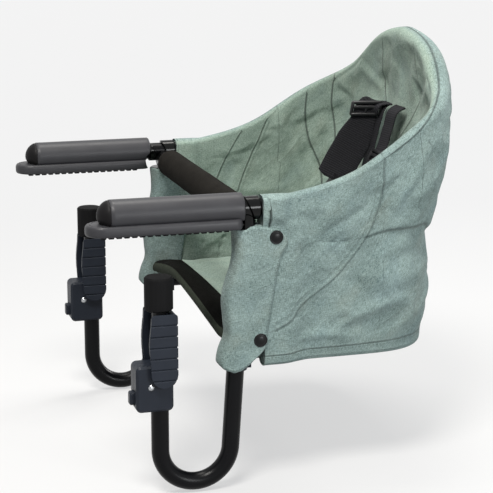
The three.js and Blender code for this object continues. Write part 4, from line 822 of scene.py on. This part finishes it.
def addWall():
    # one closed padded band: up the outside, over the rim, down the inside, under the hem
    pad = dict(rows=60, puff=7.6, spread=30.0, sunk=5.2, uneven=0.7, over=6.0, overWide=40.0, mean=370.0,
               seatX=206.8, rollReach=14.6, rimSeam=1.35, hem=5.0, far=40.0, rod=0.93, rodWide=0.07, rodRoom=-1.0,
               sunkMost=8.0, hemThin=0.6, frontThin=0.86, rimThin=0.35, heldSeam=4.0, heldHem=0.03, heldRim=26.0,
               heldFront=40.0)
    # where one thing gives way to another: the start, and the length that takes
    change = dict(thick=(0.45, 0.35), rimSeam=(0.36, 0.2), rimShown=(70.0, 50.0), roll=(-16.0, 22.0),
                  over=(95.0, 40.0), flushY=(60.0, 38.0), flushZ=(2.0, 10.0))
    lead = np.linspace(-wall["lead"] / pad["mean"], 0, 7, endpoint=False)
    half = np.concatenate([lead, np.linspace(0, 1, 81)])
    along = np.concatenate([half, half[-2::-1]])
    mirrored = np.arange(len(along)) >= len(half)
    top = 1 - wall["crest"]
    turn = np.linspace(0, math.pi, 14)[1:-1]
    rise = top * np.linspace(0, 1, pad["rows"])
    plain = np.ones(pad["rows"])
    levels = np.concatenate([rise, top + wall["crest"] * np.sin(turn), rise[::-1]])
    face = np.concatenate([plain, np.cos(turn), -plain])
    thick = wall["side"] + (wall["rear"] - wall["side"]) * ramp(along, *change["thick"])
    point, out, height, length = zip(*[wallRow(level, along) for level in levels])
    point, out, height, length = np.array(point), np.array(out), np.array(height), np.array(length)[:, None]
    near = along[None] * length
    arc = np.where(mirrored[None], 2 * length - near, near)
    tall = wallHeight(along)
    crest = wall["crest"] * tall
    bend = np.concatenate([plain * 0, turn, plain * math.pi])
    drop = np.maximum(0, top - levels)[:, None] * tall[None]
    depth = np.where(face[:, None] > 0, 1, -1) * drop + crest[None] * (math.pi / 2 - bend[:, None])

    away = {name: awayFrom(item, near, depth) for name, item in sewn.items()}
    # the rim seam lies outside the crest at the sides and on it at the back
    offset = crest * pad["rimSeam"] * (1 - ramp(along, *change["rimSeam"]))
    hidden = 1 - ramp(near, *change["rimShown"])
    away["rimline"] = (depth - offset[None]) * (1 + 40 * hidden)
    relief = np.zeros(depth.shape)
    for folds, outside in ((outerFolds, True), (innerFolds, False)):
        where = (depth > 0) if outside else (depth < 0)
        for size, width, line in folds:
            gap = nearest(lineOnWall(line, outside), near, depth)[0]
            relief += np.where(where, size * np.exp(-(gap / width) ** 2), 0)

    # thickness, fuller between seams, with the upper back standing over the lower
    ahead = -along * pad["mean"]
    roll = smooth(ahead / 14.0)[None] * ramp(height, *change["roll"])
    foot = smooth(levels / 0.05)[:, None] * (1 - pad["hemThin"]) + pad["hemThin"]
    reach = np.broadcast_to(thick / 2, depth.shape) * foot
    reach = reach * (1 - roll) + pad["rollReach"] * roll
    puff = np.full(depth.shape, pad["puff"] - pad["sunk"])
    for name, item in sewn.items():
        puff -= item["pinch"] * pad["puff"] * np.exp(-(away[name] / pad["spread"]) ** 2)
    puff = np.maximum(puff, -pad["sunk"])
    puff += relief + pad["uneven"] * ripple(near + np.where(mirrored, 500.0, 0.0)[None], depth, 11)
    upper = smooth((-away["pocket"] + 2.0) / 4.0) - 0.4
    upper = upper * ramp(near, *change["over"]) * np.exp(-(away["pocket"] / pad["overWide"]) ** 2)
    puff += np.where(depth > 0, upper * pad["over"], 0)
    # the rod in the rim keeps its room
    clear = smooth((np.abs(levels - pad["rod"]) - pad["rodWide"]) / pad["rodWide"])[:, None]
    puff = np.maximum(puff, pad["rodRoom"] - pad["sunkMost"] * clear)
    ease = smooth(levels / 0.04)[:, None] * (1 - roll) * (1 - smooth(ahead / 30.0)[None] * 0.8)
    fade = np.concatenate([plain, np.abs(np.cos(turn)) * 0.5, plain])[:, None]
    fade = fade * (pad["rimThin"] + (1 - pad["rimThin"]) * ramp(np.abs(depth), crest[None] * 1.2, 22.0))
    offsetOut = face[:, None] * reach + np.sign(face)[:, None] * puff * ease * fade
    inside = (along - along.min()) * pad["mean"]
    offsetOut = offsetOut * (pad["frontThin"] + (1 - pad["frontThin"]) * smooth(inside / 5.0))[None]
    # flush with the sleeve where its flap lies on the wall
    flush = (1 - ramp(point[..., 1], *change["flushY"])) * (1 - ramp(height, *change["flushZ"]))
    offsetOut = offsetOut + (pad["seatX"] - point[..., 0] - offsetOut) * flush * (face > 0.99)[:, None]
    x = point[..., 0] + out[..., 0] * offsetOut
    y = point[..., 1] + out[..., 1] * offsetOut
    grid = np.stack([np.where(mirrored[None], -x, x), y, height], -1)
    # rounded hem below the first level
    sweep = np.linspace(0, math.pi, 8)[1:-1, None, None]
    middle, halfway = (grid[0] + grid[-1]) / 2, (grid[-1] - grid[0]) / 2
    hem = middle + halfway * np.cos(sweep) - np.array([0, 0, pad["hem"]]) * np.sin(sweep)
    hemRows = len(hem)

    def withHem(values, fill):
        return np.concatenate([values, np.broadcast_to(fill, (hemRows, len(along)))])
    shape = Shape()
    uv = np.stack([withHem(arc, arc[0]), withHem(depth, depth[0] + np.linspace(2, 14, hemRows)[:, None])], -1)
    ids = shape.grid(np.concatenate([grid, hem]), wrapRows=True, uv=uv, flip=True)
    shape.cap(ids[:, 0])
    shape.cap(ids[:, -1], flip=True)
    made = shape.piece("seat_wall", "seat_frame", [wallCloth], ["back_panel", "side_panel_left", "side_panel_right"])
    for name, values in away.items():
        label(made, name, withHem(np.clip(values, -pad["far"], pad["far"]), pad["far"]))
    seam = np.min(np.abs(list(away.values())), axis=0)
    held = np.exp(-(seam / pad["heldSeam"]) ** 2)
    held = np.where((levels[:, None] < pad["heldHem"]) | (np.abs(depth) < pad["heldRim"]), 1.0, held)
    held = np.maximum(held, smooth(1 - inside[None] / pad["heldFront"]))
    held = np.round(withHem(held, 1.0) * 10) / 10
    swell(made, held.ravel(), pressure=1.6, grow=0.014, cap=5.0)
    refine(made)


def addSleeves():
    # cloth wrapped round the upright: front nose, outer flap with a rounded upper corner, inner face
    cut = dict(
        front=[(-166, -9), (-154, -14.5), (-136, -12), (-123, -7), (-100, -8), (-79, -9.5), (-56, -4), (-46, 0),
               (8, 0.5)],
        rear=[(-166, 32), (-150, 36), (-142, 39.5), (-134, 41.5), (-120, 41.5), (-95, 45.5), (-55, 52.5), (-32, 57),
              (-25, 60.5), (-20, 65), (-14, 66), (8, 66)],
        low=[(0, -151), (0.1, -159), (0.3, -163.5), (0.5, -161.5), (0.7, -155), (0.88, -144), (1, -131)],
        top=[(0, 0), (0.14, 0.5), (0.2, 0.8), (0.29, 4.3), (0.525, 3.6), (0.69, 0.9), (0.826, -1.7), (0.927, -9.1),
             (0.97, -14), (1, -19)],
        outer=209.8, inner=13.7, edge=207.6, nose=0.14, hem=4.0, far=40.0, column=2.4, studRoom=14)
    rows, flat, nose = 72, 24, cut["nose"]
    bend = np.linspace(0, math.pi, 14)[1:-1]
    share = np.concatenate([np.linspace(1, nose, flat), nose * (1 - np.sin(bend)), np.linspace(nose, 1, flat)])
    face = np.concatenate([np.ones(flat), np.cos(bend), -np.ones(flat)])[None]
    low, high = np.interp(share, *np.array(cut["low"]).T), np.interp(share, *np.array(cut["top"]).T)
    z = low + (high - low) * np.linspace(0, 1, rows)[:, None]
    front = curveThrough(cut["front"], z)
    rear = np.interp(z, *np.array(cut["rear"]).T)
    y = front + (rear - front) * share
    # rippled except round the studs, and thin along the free edges
    swing = ripple(y * 1.6 + 40.0, z, 21) + ripple(y, z * 2.2, 5) * 0.7
    quiet = np.prod([smooth(np.hypot(y - at, z - level) / cut["studRoom"] - 0.5)
                     for at, level in studs.values()], axis=0)
    gaps = {"flapRear": (1 - share) * (rear - front), "flapLow": z - low, "flapTop": high - z}
    thin = smooth(np.min(list(gaps.values()), axis=0) / cut["hem"])
    outer = cut["edge"] + (cut["outer"] - cut["edge"] + np.maximum(swing, -0.9) * quiet) * thin
    reach = np.where(face > 0, (outer - span) * face, cut["inner"] * face)
    points = np.stack([span + reach, y + swing * 0.5 * (np.abs(face) < 0.9), z], -1)
    uv = np.stack([np.broadcast_to(np.cumsum(np.full(len(share), cut["column"])), z.shape), z], -1)
    for name, sign in sides.items():
        shape = Shape()
        shape.solid(points * (sign, 1, 1), sign < 0, uv)
        made = shape.piece("sleeve_cloth_" + name, "seat_frame", [flapCloth], ["leg_sleeve_" + name])
        for line, gap in gaps.items():
            label(made, line, np.where(face > 0.99, gap, cut["far"]))
        refine(made)


def addCushion():
    # crowned pad with a lifted front lip; black lining below and in front, kept very dark partly as painted shade on
    # the lip, olive binding along its lower edge
    pad = dict(half=180.5, front=-3.0, back=238.5, power=4.0, corner=22, sideEnd=66, foot=-138.0, height=13.0,
               crown=11.0, lip=34.0, bow=12.0, run=36.0, ease=39.0, lined=45)
    half, corner = pad["half"], pad["corner"]
    x, y = planLine(half, pad["back"], pad["power"], np.linspace(0, 1, 70))
    bend = np.linspace(0, math.pi / 2, 8)
    cornerX, cornerY = half - corner + corner * np.cos(bend), pad["front"] + corner - corner * np.sin(bend)
    straight = np.stack([np.full(8, half), np.linspace(cornerY[0] + 5, pad["sideEnd"], 8)], 1)
    side = np.concatenate([np.stack([cornerX, cornerY], 1)[::-1], straight, np.stack([x, y], 1)])
    flat = np.stack([np.linspace(-half + corner, half - corner, 42)[1:-1], np.full(40, pad["front"])], 1)
    plan = np.concatenate([bothHalves(side), flat])
    middle = np.array([0.0, (pad["front"] + pad["back"]) / 2])
    # rings from below: how far drawn in, share of the height, share of the crown
    layers = [(0.9, 0, 0), (0.5, 0, 0), (0.2, 0, 0), (0.03, 0, 0), (0.012, 0.1, 0), (0, 0.3, 0), (0, 0.55, 0),
              (0.006, 0.75, 0), (0.02, 0.92, 0.05), (0.05, 1, 0.14), (0.1, 1, 0.3), (0.16, 1, 0.46), (0.24, 1, 0.62),
              (0.34, 1, 0.78), (0.46, 1, 0.9), (0.6, 1, 0.97), (0.75, 1, 1), (0.9, 1, 1)]
    rows = []
    for shrink, lift, swellShare in layers:
        ring = plan + (middle - plan) * shrink
        z = np.full(len(ring), pad["foot"] + pad["height"] * lift + pad["crown"] * swellShare)
        share = 1 - np.minimum(1, np.abs(ring[:, 0]) / half) ** 1.3
        share = share * smooth((pad["run"] - ring[:, 1]) / pad["ease"])
        rows.append(np.column_stack([ring[:, 0], ring[:, 1] - pad["bow"] * share, z + pad["lip"] * share]))
    rows = np.array(rows)
    shape = Shape()
    ids = shape.grid(rows, wrapCols=True, uv=rows[..., :2] + rows[..., 2:])
    # strips of lining, of binding, and of lining again up the front, where the lining's darkness is partly painted
    # shade
    strips = np.array(shape.slots).reshape(-1, len(plan))
    strips[:3], strips[3:8] = 1, 2
    strips[8:12, plan[:, 1] < pad["lined"]] = 1
    shape.slots = strips.ravel().tolist()
    shape.cap(ids[0], 1, True)
    shape.cap(ids[-1])
    made = shape.piece("seat_pad", "seat_frame", [padCloth, liningWithShade, binding], ["seat_cushion"])
    held = np.zeros(rows.shape[:2])
    held[:9] = 1.0
    swell(made, held.ravel(), pressure=1.6, grow=0.02, cap=6.0)
    refine(made)


def ribbon(shape, path, across, width, thickness):
    # flat web with rounded edges along a path; its width and the way it faces may change along it
    along = unit(np.gradient(path, axis=0))
    side = np.broadcast_to(np.asarray(across, float), path.shape)
    side = unit(side - along * np.sum(along * side, axis=1, keepdims=True))
    out = np.cross(along, side)
    width = np.broadcast_to(np.asarray(width, float), len(path))[:, None]
    turn = np.linspace(0, math.pi, 5)
    fill = np.linspace(1, -1, 9)[1:-1]
    flat = np.concatenate([np.ones(5), fill, -np.ones(5), -fill])
    bulge = np.concatenate([np.sin(turn), fill * 0, -np.sin(turn), fill * 0]) * thickness / 2
    depth = np.concatenate([np.cos(turn), fill * 0 - 1, -np.cos(turn), fill * 0 + 1]) * thickness / 2
    reach = flat[None] * (width - thickness) / 2 + bulge[None]
    points = path[:, None] + side[:, None] * reach[..., None] + out[:, None] * depth[None, :, None]
    uv = np.stack([reach, np.broadcast_to(runAlong(path)[:, None], reach.shape)], -1)
    shape.solid(points, uv=uv)


def bar(shape, start, end, width, depth, facing):
    # moulded bar with rounded corners between two points
    start, end = np.array(start, float), np.array(end, float)
    along = unit(end - start)
    side = unit(np.cross(along, facing))
    turn = ringTurn(20)
    form = np.stack([np.sign(np.cos(turn)) * np.abs(np.cos(turn)) ** 0.5 * width / 2,
                     np.sign(np.sin(turn)) * np.abs(np.sin(turn)) ** 0.5 * depth / 2], 1)
    length = np.linalg.norm(end - start)
    form = side * form[:, :1] + np.asarray(facing) * form[:, 1:]
    ends = ((0, 0.7), (0.02, 0.92), (0.05, 1), (0.5, 1), (0.95, 1), (0.98, 0.92), (1, 0.7))
    shape.solid([start + along * (length * place) + form * scale for place, scale in ends])


def slide(name, centre, across, upward):
    # three-bar slide: a frame, a middle bar with a tooth, round the web
    size = dict(width=40.0, tall=19.0, bar=4.2, thick=5.0, proud=1.6, middle=1.6, tooth=2.2)
    across, upward = unit(np.array(across, float)), unit(np.array(upward, float))
    facing = np.cross(across, upward)
    half, rise = across * (size["width"] - size["bar"]) / 2, upward * (size["tall"] - size["bar"]) / 2
    centre = np.array(centre, float) + facing * size["proud"]
    middle = upward * size["middle"]
    shape = Shape()
    for level, depth in ((rise, 1.0), (-rise, 1.15), (middle, 0.8)):
        place, reach = centre + level, half * 1.05
        bar(shape, place - reach, place + reach, size["bar"], size["thick"] * depth, facing)
    for end in (half, -half):
        bar(shape, centre + end - rise * 1.12, centre + end + rise * 1.12, size["bar"], size["thick"], facing)
    bar(shape, centre - rise, centre + middle, size["tooth"], size["thick"] * 0.7, facing)
    shape.piece("strap_slide_" + name, "seat_frame", [slidePlastic], ["strap_slider_" + name], sharp=60)


def addHarness():
    # shoulder webs out of their slots through a slide, waist webs and the crotch web; the right one hangs turned
    web = dict(width=30.0, full=43.0, end=24.0, waist=24.0, tail=26.0, thick=2.2, count=60)
    # where along a shoulder web it turns, spreads and narrows: the start, and the length that takes
    change = dict(turn=(0.04, 0.2), spread=(0.28, 0.3), narrow=(0.97, 0.03))
    routes = {
        "right": dict(line=[(-20, 268, 98), (-20.5, 262, 98.5), (-22, 251, 97.5), (-24, 241, 91.5), (-25.2, 236, 77),
                            (-27, 223, 50), (-28, 209, 26), (-27, 197, 4)],
                      tail=[(-20, 264, 98), (-20, 259.5, 95), (-20, 253.5, 80), (-20, 247, 55), (-20, 240, 25),
                            (-20, 234, -5)],
                      turned=(0.281, 0.96, 0.0), slide=(-24.2, 239.5, 92.4), upward=(0.05, 0.16, 1.0)),
        "left": dict(line=[(20, 268, 99), (20.3, 259.5, 95), (21, 251.5, 75), (22, 244, 52), (24, 233, 31),
                           (25.5, 219, 16), (25, 203, 10)],
                     turned=(1.0, 0.0, 0.0), slide=(23.3, 237, 37.5), upward=(0.0, 0.46, 1.0)),
    }
    waist = np.array([(160, 205, -86), (138, 199, -80), (60, 196, -52), (31, 176, -38), (23.2, 172, -34)])
    crotch = [(0, 160, -113.5), (0, 164, -86), (0, 172, -57.5)]

    def addWeb(name, replaced, strips):
        shape = Shape()
        for line, count, across, width in strips:
            ribbon(shape, pathThrough(line, count), across, width, web["thick"])
        shape.piece(name, "seat_frame", [webbing], [replaced])
    for name, sign in sides.items():
        route = routes[name]
        share = np.linspace(0, 1, web["count"])[:, None]
        twist = ramp(share, *change["turn"])
        across = np.array([1.0, 0.0, 0.0]) * (1 - twist) + np.array(route["turned"]) * twist
        # the web with a tail spreads below its slide; both narrow at their ends
        spread = web["full"] - web["width"] if "tail" in route else 0.0
        width = web["width"] + spread * ramp(share[:, 0], *change["spread"])
        width = width - (width - web["end"]) * ramp(share[:, 0], *change["narrow"])
        strips = [(route["line"], web["count"], across, width)]
        if "tail" in route:
            strips.append((route["tail"], 40, (1, 0, 0), web["tail"]))
        addWeb("shoulder_web_" + name, "shoulder_strap_" + name, strips)
        slide(name, route["slide"], route["turned"], route["upward"])
        addWeb("waist_web_" + name, "waist_strap_" + name,
               [(waist * (sign, 1, 1), 40, (0.1 * sign, 0.2, 1.0), web["waist"])])
    addWeb("crotch_web", "crotch_strap", [(crotch, 16, (1, 0, 0), web["width"])])


addTubes()
addFoam()
addGrips()
addCorners()
addHoops()
print("frame skins made")
addWall()
addSleeves()
addCushion()
print("soft pieces made")
addHarness()
print("harness made")

# Finishes for the solids that stay as they are
kept = {"grip_pad": rubber, "leg_bracket": clampPlastic, "clamp_housing_outer": clampPlastic,
        "clamp_housing_inner": clampPlastic, "jack_column": jackSteel, "clamp_pad": rubber,
        "lever_core": clampPlastic, "lever_skin": leverRubber, "pawl": steel, "pawl_pin": steel, "pawl_spring": steel,
        "release_button": clampPlastic, "buckle_tongue": slidePlastic, "crossbar_tube": tubePaint,
        "rim_hoop": tubePaint, "seat_board": fibreboard, "buckle_body": slidePlastic, "buckle_button": glossBlack}
for name, solid in nodes.items():
    kind = name.rsplit("_", 1)[0] if name.endswith(("_left", "_right")) else name
    if kind in kept:
        for holder in solid.material_slots:
            holder.material = kept[kind]


def backgroundRays(field):
    # one for the rays that see the pale background: the camera's, and those off metal or through glass
    camera, glossy, through = (field.make("LightPath", output=f"Is {kind} Ray")
                               for kind in ("Camera", "Glossy", "Transmission"))
    return (camera + glossy + through).clamp()


def even(value):
    return (value, value, value, 1.0)


def addStage():
    # pale floor and soft studio light; what the camera sees of both is one even pale tone
    stage = dict(half=30, below=0.002, pale=0.871, near=0.6, grey=(0.26, 0.28), world=0.4, cool=(0.95, 0.99, 1.04),
                 aim=(0, 0.05, -0.05))
    warm = (1.0, 0.975, 0.93)
    lamps = {"key": dict(place=(1.25, -0.7, 2.25), size=0.9, power=70.0, colour=warm),
             "fill": dict(place=(2.2, 0.9, 0.4), size=0.8, power=25.0, colour=(0.97, 0.99, 1.0)),
             "rear": dict(place=(-0.6, 0.2, 2.6), size=1.2, power=46.0, colour=warm),
             "back": dict(place=(-1.3, 2.2, 1.1), size=1.1, power=30.0, colour=(1.0, 0.99, 0.97))}
    pale, half = stage["pale"], stage["half"]
    low = cadBox[0][2] - stage["below"]
    mesh = bpy.data.meshes.new("floor")
    corners = [(-half, -half, low), (half, -half, low), (half, half, low), (-half, half, low)]
    mesh.from_pydata(corners, [], [(0, 1, 2, 3)])

    def paint(field):
        # lit and shadowed near the object, only the pale tone further off
        seen = backgroundRays(field)
        place = field.make("TexCoord", output="Object")
        far = (place.make("VectorMath", {0: place}, output="Value", operation="LENGTH") * 0.9 - 0.45).clamp()
        shown = (seen * (far * (1.0 - stage["near"]) + stage["near"])).between(even(0.0), even(pale))
        grey = place.noise(1.3).between(*map(even, stage["grey"]))
        return {"Base Color": (seen * far).between(grey, even(0.0)), "Emission Color": shown}
    finish = {"Roughness": 0.9, "Specular IOR Level": 0.1, "Emission Strength": 1.0}
    mesh.materials.append(shade("pale_floor", finish, paint))
    floor = bpy.data.objects.new("floor", mesh)
    scene.collection.objects.link(floor)
    world = bpy.data.worlds.new("studio")
    world.use_nodes = True
    seen = backgroundRays(Field(world.node_tree))
    strength = seen * (1.0 - stage["world"]) + stage["world"]
    colour = seen.between((*(pale * part for part in stage["cool"]), 1.0), even(pale))
    for key, value in (("Color", colour), ("Strength", strength)):
        world.node_tree.links.new(value.socket, world.node_tree.nodes["Background"].inputs[key])
    scene.world = world
    for name, lamp in lamps.items():
        data = bpy.data.lights.new(name, "AREA")
        data.shape, data.size, data.energy, data.color = "DISK", lamp["size"], lamp["power"], lamp["colour"]
        holder = bpy.data.objects.new(name, data)
        holder.location = lamp["place"]
        holder.rotation_euler = (Vector(lamp["place"]) - Vector(stage["aim"])).to_track_quat("Z", "Y").to_euler()
        scene.collection.objects.link(holder)
    scene.view_settings.view_transform = "Standard"


addStage()
